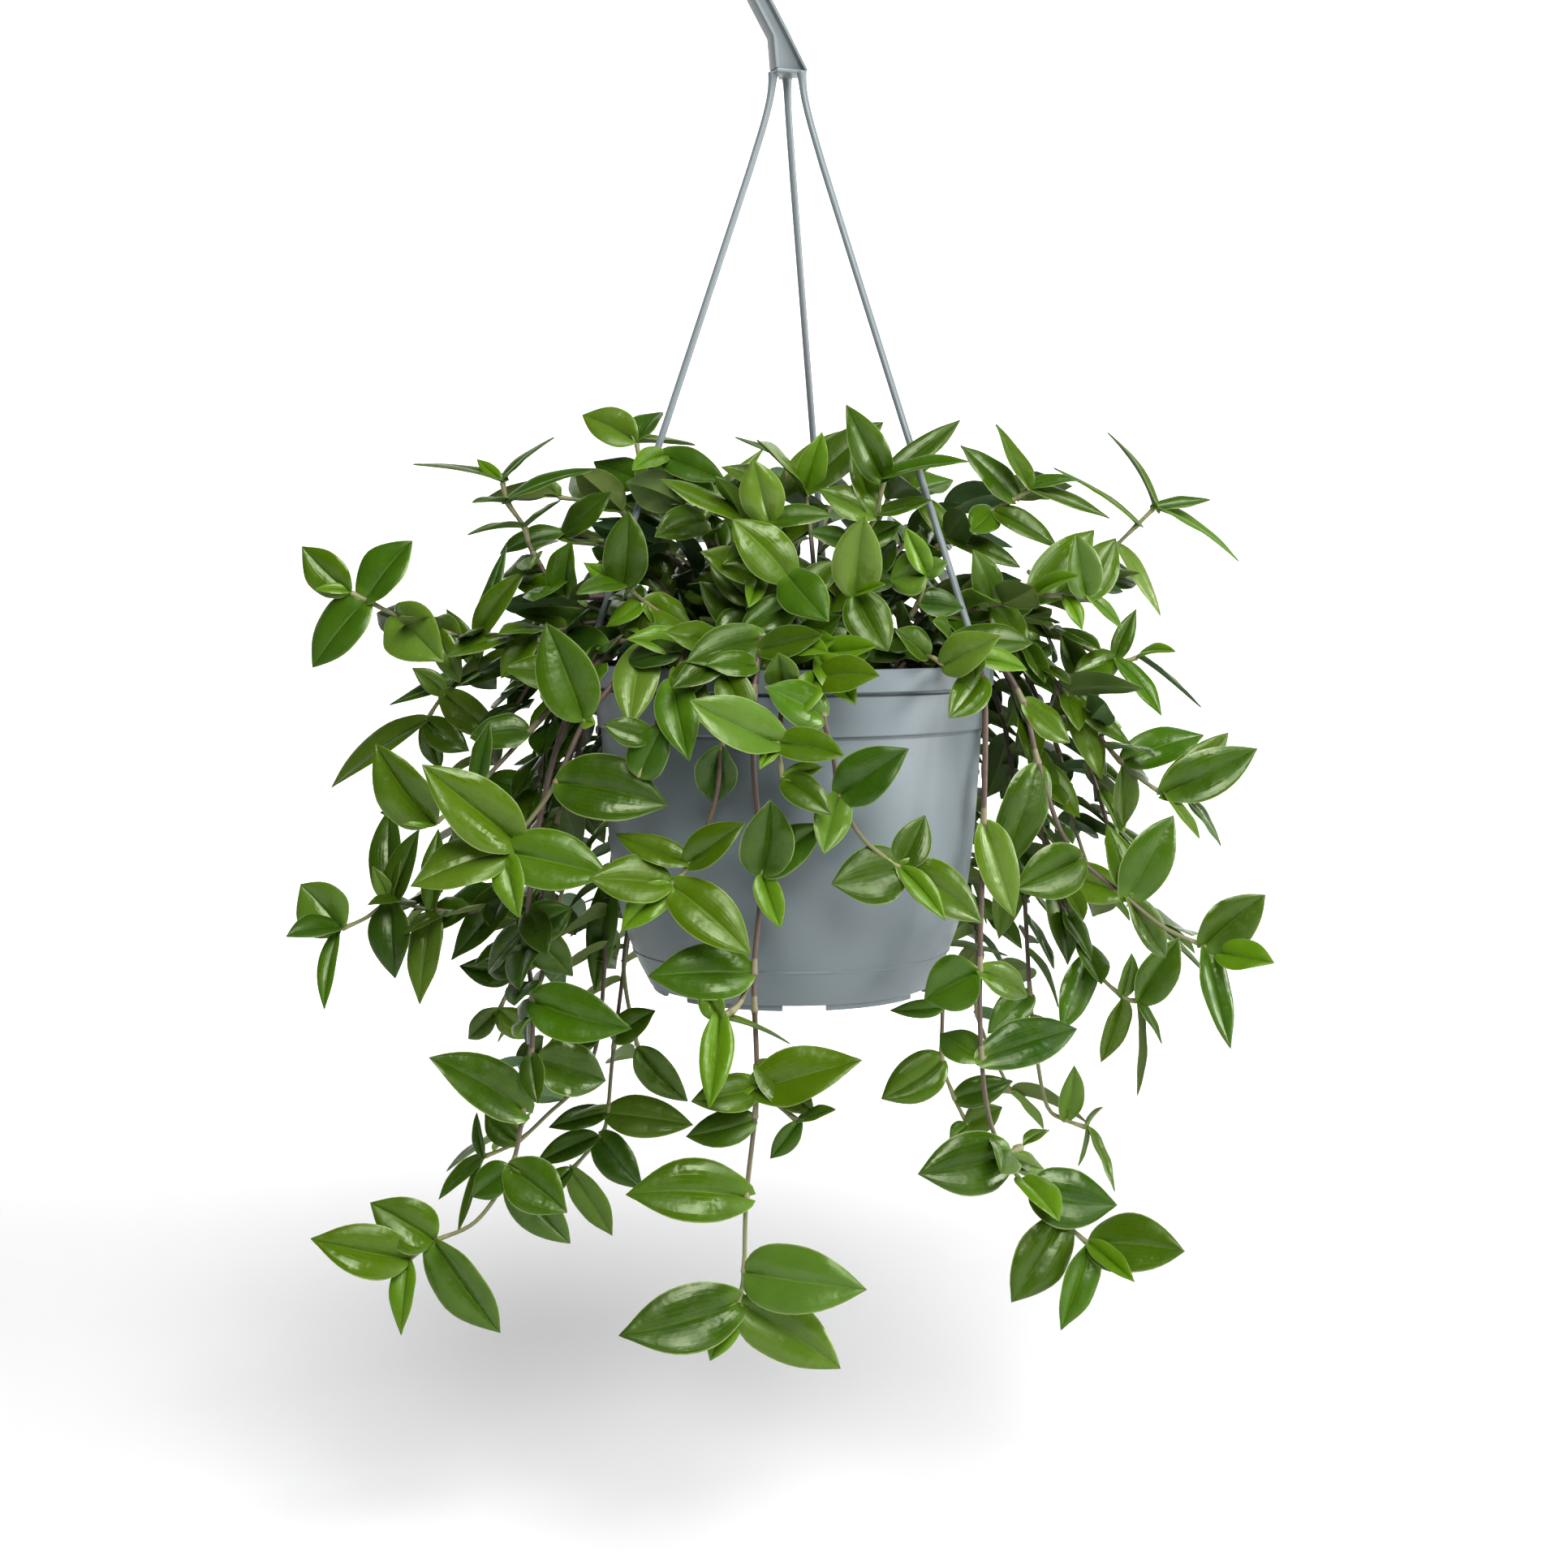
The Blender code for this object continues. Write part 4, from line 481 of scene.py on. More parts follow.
# Pot in detail. The raised line near the base and the groove at the step are given by their corners: how
# far out from the wall and how far up from the line's middle or the wall's top
POT_FINE_SIDES = 144
POT_CURVE_POINTS = 20
POT_EDGE = 0.7
POT_SHARP = 35.0
LINE_HEIGHT = -106.4
LINE_WIDTH = 0.8
LINE_CORNERS = ((0.0, -0.5), (0.35, -0.3), (0.35, 0.3), (0.0, 0.5))
GROOVE_CORNERS = ((0.0, 0.1), (-0.5, 0.3), (-0.5, 1.0), (0.3, 1.1))
FOOT_FINE = 52.0
FOOT_GAP_LENGTH = 12.0
DRAIN_SIDES = 32
# A corner's rounding takes no more than this share of the edges beside it
ROUND_SHARE = 0.45
# Below the rim's band, from the wall in and up to the band's underside
BAND_GROOVE = [(73.2, -BAND_HEIGHT - 1.4), (72.5, -BAND_HEIGHT - 0.9), (72.5, -BAND_HEIGHT)]
# Painted shade under the pot's band and step: the height of each dark line, and half its width
POT_PAINTED_SHADE_LINES = ((-BAND_HEIGHT - 0.7, 1.0), (OUTSIDE[6][1] + 0.65, 0.7))
PAINTED_SHADE_COLOUR = (0.035, 0.043, 0.047)

# Soil in detail: its uneven top as the height and size of each layer of bumps, how far below the soil's level
# the bumps reach, and its crumbs
SOIL_SIDES = 120
SOIL_RINGS = 40
SOIL_REACH = 71.0
SOIL_EDGE_DROP = 1.6
SOIL_DROP = 0.6
SOIL_BUMPS = ((1.6, 9.0), (1.1, 3.2), (0.5, 1.3))
SOIL_BUMPS_REACH = 1.0
SOIL_TONE = 0.3
CRUMBS = 900
CRUMB_SEED = 5
CRUMB_REACH = 69.0
CRUMB_SIZE = (0.7, 2.3)
CRUMB_RISE = (-0.6, 0.5)
CRUMB_STRETCH = ((0.8, 1.7), (0.6, 1.0), (0.4, 0.8))
CRUMB_ROUGH = (0.82, 1.15)
CRUMB_SIDES = 7
CRUMB_OUTLINE = [(0.0, -1.0), (0.75, -0.62), (1.0, 0.05), (0.7, 0.68), (0.0, 1.0)]

# Hanger in detail: the rounding of its edges, and the round strands, which flare up into the head
HANGER_SHARP = 40.0
BEVEL_ANGLE = math.radians(40)
BEVEL_SEGMENTS = 2
HOOK_EDGE = 0.3
STRAND_EDGE = 0.1
CLIP_EDGE = 0.25
CROOK_FINE_STEPS = 4 * CROOK_STEPS
STRAND_FINE = 1.3
STRAND_FINE_SIDES = 14
STRAND_CUTS = 6
STRAND_FLARE = 0.9
STRAND_FLARE_REACH = 3.0
# The plate, neck and boss that join the strands below the arm: sizes, and the moves from the head's middle
PLATE_SIZE = (10.7, 8.4, HUB_BELOW - 0.3)
PLATE_SHIFT = (-0.75, -1.0, 0.0)
NECK_SIZE = (9.5, 5.6, 1.2)
NECK_SHIFT = (-0.75, -0.41, 0.6)
BOSS_SIZE = (4.6, 4.6, HUB_BELOW - 0.35)
BOSS_SHIFT = (0.94, 4.45, 0.0)

# Leaf colours
LEAF_DARK = (0.014, 0.045, 0.002)
LEAF_LIGHT = (0.083, 0.170, 0.0015)
LEAF_YOUNG = (0.098, 0.21, 0.004)
# Painted sheen: a pale milky green for the lightest-toned leaves, in place of a glossy reflection
LEAF_PAINTED_SHEEN = (0.17, 0.26, 0.07)
UNDER_DARK = (0.080, 0.130, 0.032)
UNDER_LIGHT = (0.155, 0.235, 0.070)
UNDER_YOUNG = (0.15, 0.26, 0.030)
VEIN_COLOUR = (0.12, 0.24, 0.02)
RIB_COLOUR = (0.19, 0.32, 0.06)
MARGIN_COLOUR = (0.28, 0.38, 0.11)
TIP_COLOUR = (0.10, 0.065, 0.03)
SHEEN_TINT = (0.90, 1.0, 0.68, 1.0)
GLOW = (0.10, 0.24, 0.004)
GLOW_YOUNG = (0.16, 0.32, 0.015)
# What a leaf's colour is multiplied by where it is yellower or bluer than most
WARM_TINT = (1.2, 1.0, 0.5)
COOL_TINT = (0.6, 0.92, 2.0)

# Leaf markings. A ramp is the two values that a marking runs between and, where given, its strength at each
WARMTH_TURNS = 47.0
WARM_RAMP = (-0.2, 1.0, 0.0, 0.6)
COOL_RAMP = (-1.0, -0.2, 0.6, 0.0)
PAINTED_SHEEN_RAMP = (0.78, 0.92, 0.0, 0.25)
BLOTCH_RAMP = (0.3, 0.7, 0.0, 0.35)
VEINS = 7
VEIN_RAMP = (0.35, 1.0)
VEIN_SHARE = 0.08
BASE_RAMP = (0.0, 0.16, 0.45, 0.0)
RIB_RAMP = (0.012, 0.055, 0.55, 0.0)
RIB_TONE_RAMP = (0.2, 0.8, 0.3, 1.0)
MARGIN_RAMP = (0.94, 0.985, 0.0, 0.65)
TIP_RAMP = (0.965, 1.0)
# How much of the other leaf colour a blotch takes, how much light passes through, how shiny and how dull the
# two sides are and how much that varies, and how high veins, grain and dimples are against each other. Noise
# is in spots to the metre, with its detail and roughness, and a bump is its strength and its depth in metres.
BLOTCH_SHARE = 0.5
GLOW_SHARE = 0.22
LEAF_SPECULAR = 0.5
LEAF_ROUGHNESS = 0.27
UNDER_ROUGHNESS = 0.55
SHINE_RAMP = (0.35, 0.65)
SHINIER = 0.08
DULLER = 0.14
VEIN_HEIGHT = 0.06
GRAIN_HEIGHT = 0.1
DIMPLE_HEIGHT = 2.2
LEAF_BUMP = (1.0, 0.00025)
BLOTCHES = 90.0
GRAIN = (1400.0, 2.0)
DIMPLES = (150.0, 2.0)
SHINE_PATCHES = 75.0

# Stem colours, each from dark to light: old skin, fresh skin, and where the one turns into the other. Then
# the sheaths, and the spots and grain of the skin
STEM_OLD = ((0.042, 0.026, 0.019), (0.115, 0.076, 0.054))
STEM_FRESH = ((0.13, 0.15, 0.045), (0.20, 0.21, 0.085))
FRESH_RAMP = (0.72, 1.0)
SHEATH_COLOUR = (0.27, 0.25, 0.12)
SHEATH_SHARE = 0.5
OLD_SPOTS = 260.0
FRESH_SPOTS = 200.0
STEM_GRAIN = 900.0
STEM_BUMP = (0.3, 0.0004)
STEM_ROUGHNESS = 0.5

# Plastic colours, each from dark to light, and how dull each plastic is
POT_COLOURS = ((0.121, 0.150, 0.161), (0.131, 0.161, 0.173))
HANGER_COLOURS = ((0.148, 0.174, 0.182), (0.162, 0.189, 0.197))
POT_ROUGHNESS = 0.40
HANGER_ROUGHNESS = 0.36
# Their clouds, specks, lines of painted shade and patches of gloss, and their grain
CLOUDS = 14.0
CLOUD_RAMP = (0.35, 0.65)
SPECKS = (420.0, 4.0)
SPECK_RAMP = (0.62, 0.72, 0.0, 0.22)
SPECK_DARKNESS = 0.8
# Painted shade lines: their darkness at the middle, and the share of their half width that is fully dark
PAINTED_SHADE_STRENGTH = 0.6
PAINTED_SHADE_CORE = 0.5
GLOSS_PATCHES = 60.0
GLOSS_RAMP = (0.3, 0.7)
GLOSSIER = 0.05
LESS_GLOSSY = 0.06
PLASTIC_GRAIN = (1500.0, 2.0)
PLASTIC_BUMP = (0.12, 0.0002)

# Soil colours, from dark to light, and the tones of the crumbs that are bark
SOIL_COLOURS = ((0.012, 0.008, 0.006), (0.06, 0.04, 0.026))
BARK_COLOUR = (0.15, 0.095, 0.055)
BARK_RAMP = (0.72, 1.0, 0.0, 0.7)
PEAT_SPOTS = (300.0, 6.0, 0.7)
PEAT_GRAIN = (900.0, 5.0, 0.7)
PEAT_BUMP = (0.7, 0.001)
SOIL_ROUGHNESS = 0.92

# Stage, lights and camera
FLOOR = -345.0
STAGE_HALF = 4000.0
STAGE_FRONT = 1500.0
STAGE_BACK = 1500.0
SWEEP = 600.0
SWEEP_STEPS = 12
STAGE_HEIGHT = 3000.0
BACKDROP_COLOUR = (0.90, 0.90, 0.905, 1.0)
BACKDROP_ROUGHNESS = 0.9
WHITE = (1.0, 1.0, 1.0, 1.0)
# How brightly the backdrop glows: below the plant, and from this far behind it on
FLOOR_GLOW = 0.0
WALL_GLOW = 0.85
GLOW_START = 250.0
GLOW_END = 1300.0
WORLD_STRENGTH = 0.08
# Name, place, side of the square and power in watts
LIGHTS = [
    ("front", (230.0, -1250.0, 900.0), 760.0, 26.0),
    ("high", (430.0, -700.0, 1230.0), 560.0, 11.0),
    ("right", (2200.0, -420.0, 200.0), 900.0, 46.0),
]
LAMP_TARGET = (0.0, 0.0, -80.0)
CAMERA_PITCH = math.radians(5.13)
LENS_LENGTH = 50.0
SENSOR_WIDTH = 36.0


def seen(across, up, depth):
    """The point at this depth that the front view shows at (across, up) in the plane of the axis."""
    flat = Vector((across, 0.0, up))
    return EYE + (flat - EYE) * ((depth - EYE.y) / -EYE.y)


def bearing_vector(degrees):
    """Level direction away from the axis; 0 points to the front and 90 to the right."""
    angle = math.radians(degrees)
    return Vector((math.sin(angle), -math.cos(angle), 0.0))


def smooth_point(points, place):
    """A point on the smooth curve through the points; place 2.5 is half way from point 2 to point 3."""
    last = len(points) - 1
    number = min(int(place), last - 1)
    part = place - number
    before = points[max(number - 1, 0)]
    start, end = points[number], points[number + 1]
    after = points[min(number + 2, last)]
    square, cube = part * part, part ** 3
    return 0.5 * (2 * start + (end - before) * part + (2 * before - 5 * start + 4 * end - after) * square
                  + (3 * start - before - 3 * end + after) * cube)


def smooth_line(points, cuts):
    """Points of the smooth curve through the given ones, cuts to each stretch."""
    last = len(points) - 1
    return [smooth_point(points, place) for place in np.linspace(0, last, last * cuts + 1)]


def curve_through(points, spacing):
    """The smooth curve's points, with more between any two that lie further apart than the spacing."""
    result = []
    for number in range(len(points) - 1):
        pieces = max(1, math.ceil((points[number + 1] - points[number]).length / spacing))
        result += [smooth_point(points, number + step / pieces) for step in range(pieces)]
    return result + [points[-1]]


def tube_faces(rings, sides):
    """Faces of a tube through this many rings of points, closed at both ends."""
    faces = []
    for ring in range(rings - 1):
        low, high = ring * sides, (ring + 1) * sides
        for side in range(sides):
            following = (side + 1) % sides
            faces.append((low + side, low + following, high + following, high + side))
    end = (rings - 1) * sides
    return faces + [tuple(reversed(range(sides))), tuple(range(end, end + sides))]


def neighbours(points, number):
    """The points before and after this one, or the point itself at an end."""
    return points[max(number - 1, 0)], points[min(number + 1, len(points) - 1)]


def tube(centres, radii, sides, turn=0.0):
    """Points and faces of a closed tube along the centres."""
    points = []
    across = None
    for number, centre in enumerate(centres):
        before, after = neighbours(centres, number)
        along = (after - before).normalized()
        if across is None:
            across = along.orthogonal()
            if abs(along.z) > STEEP:
                across = Vector((1.0, 0.0, 0.0))
        across = (across - along * across.dot(along)).normalized()
        upward = along.cross(across)
        for side in range(sides):
            angle = turn + 2 * math.pi * side / sides
            points.append(centre + radii[number] * (math.cos(angle) * across + math.sin(angle) * upward))
    return points, tube_faces(len(centres), sides)


def stem_tube(route, radius, end_radius, extra=0.0):
    """A stem's tube, thinner towards its tip, with extra added to its radius."""
    centres = curve_through(route, STEM_SPACING)
    last = len(centres) - 1
    radii = [radius + (end_radius - radius) * number / last + extra for number in range(last + 1)]
    return tube(centres, radii, STEM_SIDES, math.pi / STEM_SIDES)


def leaf_axes(leaf):
    """Length, direction, side and face direction of a leaf."""
    along = leaf["tip"] - leaf["base"]
    length = along.length
    along.normalize()
    side = along.cross(leaf["facing"])
    if side.length < LEAST_SIDE:
        side = along.cross(OTHER_FACING)
    side.normalize()
    return length, along, side, side.cross(along)


def blade(leaf, extra=0.0, first=0):
    """Points and faces of one leaf: an arched blade with a sharp edge all round.

    Each station of a large leaf has its left edge, the rib's top, its right edge and the rib's underside,
    folded along the rib, and both faces are split into triangles alike. A small leaf has a flat upper face
    over its rib. A blade that starts at a later station is its outer part alone.
    """
    length, along, side, face = leaf_axes(leaf)
    half_width = leaf["width"] / 2 + extra
    half_thick = RIB_THICK / 2 + extra
    large = length > LARGE_LEAF
    corners = 4 if large else 3
    points = [] if first else [leaf["base"] - along * (ROOT + extra)]
    stations = LARGE_STATIONS if large else SMALL_STATIONS
    for place, share in stations[first:]:
        arch = LEAF_ARCH * length * 4 * place * (1 - place)
        rib = leaf["base"] + along * (place * length) + face * arch
        rise = face * (LEAF_FOLD * half_width * share)
        left, right = rib - side * (half_width * share), rib + side * (half_width * share)
        if large:
            points += [left + rise, rib + face * half_thick, right + rise, rib - face * half_thick]
        else:
            points += [left + face * half_thick, right + face * half_thick, rib - face * half_thick]
    points.append(leaf["tip"] + along * extra)
    start = 0 if first else 1
    faces = [(0, 1 + corner, 1 + (corner + 1) % corners) for corner in range(corners)]
    if first:
        faces = [tuple(reversed(range(corners)))]
    rings = len(stations) - first
    for ring in range(rings - 1):
        low, high = start + ring * corners, start + (ring + 1) * corners
        for corner in range(corners):
            following = (corner + 1) % corners
            if corner in (0, 2):
                faces += [(low + corner, high + corner, high + following),
                          (low + corner, high + following, low + following)]
            else:
                faces += [(low + corner, high + corner, low + following),
                          (low + following, high + corner, high + following)]
    end, tip = start + (rings - 1) * corners, len(points) - 1
    faces += [(end + (corner + 1) % corners, end + corner, tip) for corner in range(corners)]
    return points, faces


def item(shape):
    """A shape's limits and its search tree."""
    points, faces = shape
    low = [min(point[axis] for point in points) for axis in range(3)]
    high = [max(point[axis] for point in points) for axis in range(3)]
    return low, high, BVHTree.FromPolygons(points, faces)


def is_clear(shape, items):
    """True if the shape cuts none of the items."""
    low, high, tree = item(shape)
    for other_low, other_high, other in items:
        apart = any(low[axis] > other_high[axis] or high[axis] < other_low[axis] for axis in range(3))
        if not apart and tree.overlap(other):
            return False
    return True


def others(placed, name):
    """The items of every node but this one."""
    return [entry for owner, items in placed.items() if owner != name for entry in items]


def with_foot(foot, points):
    """A stem's route from its foot in its hole, up out of the soil and through its points."""
    return [Vector((*foot, SOIL_TOP - HOLE_DEPTH + GAP)), Vector((*foot, SOIL_TOP + FOOT_RISE))] + points


def settle_route(placed, name, route, fixed):
    """The route, moved a little past its fixed points where the stem would cut something, or None."""
    near = others({owner: items for owner, items in placed.items() if owner != "soil"}, name)
    for shift in ROUTE_SHIFTS:
        moved = [point + Vector(shift) * min(1.0, max(0, number - fixed + 1) / 2)
                 for number, point in enumerate(route)]
        if is_clear(stem_tube(moved, STEM_RADIUS, STEM_END_RADIUS, CLEAR), near):
            return moved
    return None


def place_leaf(placed, outer, name, leaf, near, clear):
    """Place a leaf if it is clear of its stem's other leaves and, by this much, of all that is near."""
    outer_part = blade(leaf, 0.0, 1)
    fits = is_clear(blade(leaf, clear), near) and is_clear(outer_part, outer[name])
    if fits:
        placed[name].append(item(blade(leaf)))
        outer[name].append(item(outer_part))
    return fits


def settle_leaf(placed, outer, name, leaf):
    """The leaf, placed once it is changed as little as makes it clear of everything else, or None."""
    near = others(placed, name)
    reach = leaf["tip"] - leaf["base"]
    for size in LEAF_SIZES:
        for roll in LEAF_ROLLS:
            for shift in LEAF_SHIFTS:
                changed = dict(leaf, width=leaf["width"] * size)
                changed["tip"] = leaf["base"] + (reach + leaf["slide"] * shift) * size
                turn = Matrix.Rotation(math.radians(roll), 3, reach.normalized())
                changed["facing"] = turn @ leaf["facing"]
                if place_leaf(placed, outer, name, changed, near, CLEAR):
                    return changed
    return None


def seen_leaf(draw, route, leaf, fixed):
    """A leaf of a stem that the front view shows, from its row in the list, turned a little outwards."""
    place, across, up, nearer, width, tilt, *young = leaf
    base = smooth_point(route, place + fixed)
    angle = math.radians(tilt)
    depth = base.y - nearer + draw.uniform(-DEPTH_SPREAD, DEPTH_SPREAD)
    return {
        "base": base, "tip": seen(across, up, depth), "width": width, "young": bool(young),
        "facing": Vector((base.x * OUTWARD_TURN, -math.sin(angle), math.cos(angle))).normalized(),
        "slide": Vector((0.0, 1.0, 0.0)),
    }


def side_leaf(draw, base, along, turn, pointing, lit=0.0):
    """Where a leaf points and faces that grows to one side of its stem, outwards and up to the light."""
    share, out, rise, facing_out = pointing
    outward = Vector((base.x, base.y, 0.0)).normalized()
    level = Vector((-outward.y, outward.x, 0.0))
    reach = level * math.sin(turn) + along * math.cos(turn) * share + outward * draw.uniform(*out)
    reach += Vector((0.0, 0.0, draw.uniform(*rise)))
    facing = outward * draw.uniform(*facing_out) + Vector((0.0, -lit, FACING_UP))
    return reach.normalized(), facing.normalized()


def hidden_leaf(draw, route, number, turn, young=False):
    """A leaf of a stem that the front view hides."""
    base = route[number]
    along = (base - route[number - 1]).normalized()
    length = draw.uniform(*(HIDDEN_YOUNG_LENGTH if young else HIDDEN_LENGTH))
    reach, facing = side_leaf(draw, base, along, turn, HIDDEN_POINTING)
    return {
        "base": base, "tip": base + reach * length, "width": length * draw.uniform(*HIDDEN_WIDTH),
        "young": young, "facing": facing, "slide": facing,
    }


def hidden_leaves(draw, route, first):
    """Alternate leaves along a route, then three at its tip, the last one young."""
    leaves, last = [], len(route) - 1
    for number in range(first, last):
        turn = math.radians(draw.uniform(*HIDDEN_TURN)) * (1 if number % 2 else -1)
        leaves.append(hidden_leaf(draw, route, number, turn))
    for turn in (END_TURN, -END_TURN):
        turn = math.radians(turn + draw.uniform(-END_SPREAD, END_SPREAD))
        leaves.append(hidden_leaf(draw, route, last, turn))
    turn = math.radians(draw.uniform(-LAST_SPREAD, LAST_SPREAD))
    leaves.append(hidden_leaf(draw, route, last, turn, young=True))
    return leaves


def hanging_route(draw, bearing, crest, reach, drop):
    """Over the rim and down, with the tip turned outwards."""
    points = [bearing_vector(bearing) * SHOULDER + Vector((0.0, 0.0, crest * SHOULDER_CREST)),
              bearing_vector(bearing) * OVER_RIM + Vector((0.0, 0.0, crest * RIM_CREST))]
    steps = max(2, round((crest + drop) / HIDDEN_SPACING))
    for step in range(1, steps + 1):
        share = step / steps
        radius = OVER_RIM + (reach - OVER_RIM) * math.sin(share * math.pi / 2)
        radius += TIP_TURN * max(0.0, share - TIP_SHARE) / (1 - TIP_SHARE)
        sway = bearing + draw.uniform(-HANGING_SWAY, HANGING_SWAY)
        height = crest * RIM_CREST - (crest + drop) * share
        points.append(bearing_vector(sway) * radius + Vector((0.0, 0.0, height)))
    return points


def rising_route(draw, bearing, reach, height):
    """Up out of the pot and outwards to a tip above the rim."""
    steps = max(2, round(math.hypot(reach, height) / HIDDEN_SPACING))
    points = []
    for step in range(1, steps + 1):
        share = step / steps
        sway = bearing + draw.uniform(-RISING_SWAY, RISING_SWAY)
        level = bearing_vector(sway) * (RISE_START + (reach - RISE_START) * share ** RISE_BEND)
        points.append(level + Vector((0.0, 0.0, height * math.sin(share * math.pi / 2))))
    return points


def add_stem(placed, stems, name, route, rows):
    """Add a stem where it is clear; False if there is no room for it."""
    settled = settle_route(placed, name, route, FIXED_POINTS)
    if settled:
        placed[name] = [item(stem_tube(settled, STEM_RADIUS, STEM_END_RADIUS))]
        stems.append({"name": name, "route": settled, "shoots": [], "rows": rows})
    return bool(settled)


def add_hidden_stem(placed, stems, draw, name, make_route, row, foot_radii):
    """Add a stem that the front view hides, drawn again until it is clear."""
    for _ in range(DRAWS):
        foot = bearing_vector(row[0] + draw.uniform(-FOOT_SWAY, FOOT_SWAY)) * draw.uniform(*foot_radii)
        if add_stem(placed, stems, name, with_foot((foot.x, foot.y), make_route(draw, *row)), None):
            return


def grow():
    """Every leafy stem with its route, side shoots and leaves, and what is placed, for later leaves."""
    placed = {"pot": [item(pot_shape())], "soil": [item(soil_shape())],
              "hanger": [item(shape) for shape in hanger_shapes()]}
    stems = []
    for name, foot, points, leaves in FRONT_STEMS:
        route = with_foot(foot, [seen(*point) for point in points])
        add_stem(placed, stems, "stem_" + name, route, leaves)
    draw = random.Random(SEED)
    for kind, rows, make_route, feet in (("back_hanging", HANGING_STEMS, hanging_route, HANGING_FEET),
                                         ("rising", RISING_STEMS, rising_route, RISING_FEET)):
        for number, row in enumerate(rows, 1):
            add_hidden_stem(placed, stems, draw, f"stem_{kind}_{number}", make_route, row, feet)
    outer = {stem["name"]: [] for stem in stems}
    by_name = {stem["name"]: stem for stem in stems}
    for name, number, points, leaves in SIDE_SHOOTS:
        stem = by_name["stem_" + name]
        route = [stem["route"][number + FIXED_POINTS]] + [seen(*point) for point in points]
        stem["shoots"].append((route, leaves))
        placed[stem["name"]].append(item(stem_tube(route, SHOOT_RADIUS, SHOOT_RADIUS)))
    for stem in stems:
        if stem["rows"] is None:
            wanted = hidden_leaves(draw, stem["route"], FIXED_POINTS + 1)
        else:
            wanted = [seen_leaf(draw, stem["route"], leaf, FIXED_POINTS) for leaf in stem["rows"]]
        for route, leaves in stem["shoots"]:
            wanted += [seen_leaf(draw, route, leaf, 1) for leaf in leaves]
        settled = [settle_leaf(placed, outer, stem["name"], leaf) for leaf in wanted]
        stem["leaves"] = [leaf for leaf in settled if leaf]
    return stems, placed, outer


def to_row(point):
    """A point in metres from the hook's seat."""
    return (point[0] * METRES, point[1] * METRES, (point[2] - SEAT_ABOVE_RIM) * METRES)


def turned(outline, sides):
    """Points and faces of a closed outline, (radius, height) pairs, turned about the axis.

    The outline runs anticlockwise with the radius to the right, and starts and ends on the axis.
    """
    points = [Vector((0.0, 0.0, outline[0][1])), Vector((0.0, 0.0, outline[-1][1]))]
    rings = outline[1:-1]
    for radius, height in rings:
        for side in range(sides):
            angle = 2 * math.pi * side / sides
            points.append(Vector((radius * math.cos(angle), radius * math.sin(angle), height)))
    faces = []
    end = 2 + (len(rings) - 1) * sides
    for side in range(sides):
        following = (side + 1) % sides
        faces.append((0, 2 + following, 2 + side))
        faces.append((1, end + side, end + following))
        for ring in range(len(rings) - 1):
            low, high = 2 + ring * sides, 2 + (ring + 1) * sides
            faces.append((low + side, low + following, high + following, high + side))
    return points, faces


def box(size, place):
    """Points and faces of a box of this size, moved by the matrix from the middle of its base."""
    points = [place @ Vector((x * size[0] / 2, y * size[1] / 2, z * size[2]))
              for z in (0, 1) for x, y in ((-1, -1), (1, -1), (1, 1), (-1, 1))]
    faces = [(3, 2, 1, 0), (4, 5, 6, 7), (0, 1, 5, 4), (1, 2, 6, 5), (2, 3, 7, 6), (3, 0, 4, 7)]
    return points, faces


def at_bearing(degrees, height):
    """Matrix whose X axis points along the bearing, at a height on the axis."""
    return Matrix.Translation((0.0, 0.0, height)) @ Matrix.Rotation(math.radians(degrees - 90), 4, "Z")


def pot_shape():
    """The plain shell of the pot."""
    foot = BASE - FOOT_HEIGHT
    ring = [(0.0, BASE), (FOOT_INNER, BASE), (FOOT_INNER, foot), (FOOT_OUTER, foot)]
    return turned(ring + OUTSIDE + INSIDE + [(0.0, BASE + WALL)], POT_SIDES)


def soil_wall():
    """The outline of the soil from the middle of its underside up to its top edge."""
    radius, height = INSIDE[-1]
    bottom = height + GAP
    wall = [(radius - SOIL_GAP, height) for radius, height in reversed(INSIDE[1:-1])]
    return [(0.0, bottom), (radius - SOIL_GAP, bottom), *wall]


def soil_shape():
    """The plain fill of soil, clear of the pot all round."""
    rim_radius, step_radius = INSIDE[0][0], INSIDE[1][0]
    top_radius = rim_radius + (step_radius - rim_radius) * SOIL_TOP / INSIDE[1][1] - SOIL_GAP
    return turned(soil_wall() + [(top_radius, SOIL_TOP), (0.0, SOIL_TOP)], POT_SIDES)


def hook_centres(steps):
    """The hook's middle line in its own plane from the head up: across, up and the width there."""
    crook = []
    for step in range(steps + 1):
        share = step / steps
        angle = CROOK_START + (CROOK_END - CROOK_START) * share
        crook.append((HOOK_RADIUS * math.cos(angle), HOOK_CENTRE + HOOK_RADIUS * math.sin(angle),
                      CROOK_WIDTH - CROOK_TAPER * share))
    across, up, _ = crook[-1]
    return ARM + crook + [(across + LIP[0], up + LIP[1], LIP[2])]


def hook_shape(steps):
    """The ribbed arm and crook: an H section with a flange along each edge."""
    centres = hook_centres(steps)
    turn = Matrix.Rotation(HOOK_TURN, 3, "Z")
    points = []
    for number, (across, up, width) in enumerate(centres):
        before, after = neighbours(centres, number)
        along = Vector((after[0] - before[0], 0.0, after[1] - before[1])).normalized()
        if number == 0:
            along = Vector((0.0, 0.0, 1.0))
        outward = Vector((-along.z, 0.0, along.x))
        half, inner = width / 2, width / 2 - FLANGE
        deep, thin = HOOK_DEPTH / 2, WEB / 2
        near = [(-half, -deep), (-inner, -deep), (-inner, -thin)]
        near += [(-offset, depth) for offset, depth in reversed(near)]
        section = near + [(-offset, -depth) for offset, depth in near]
        points += [turn @ (Vector((across, depth, up)) - outward * offset) for offset, depth in section]
    return points, tube_faces(len(centres), len(section))


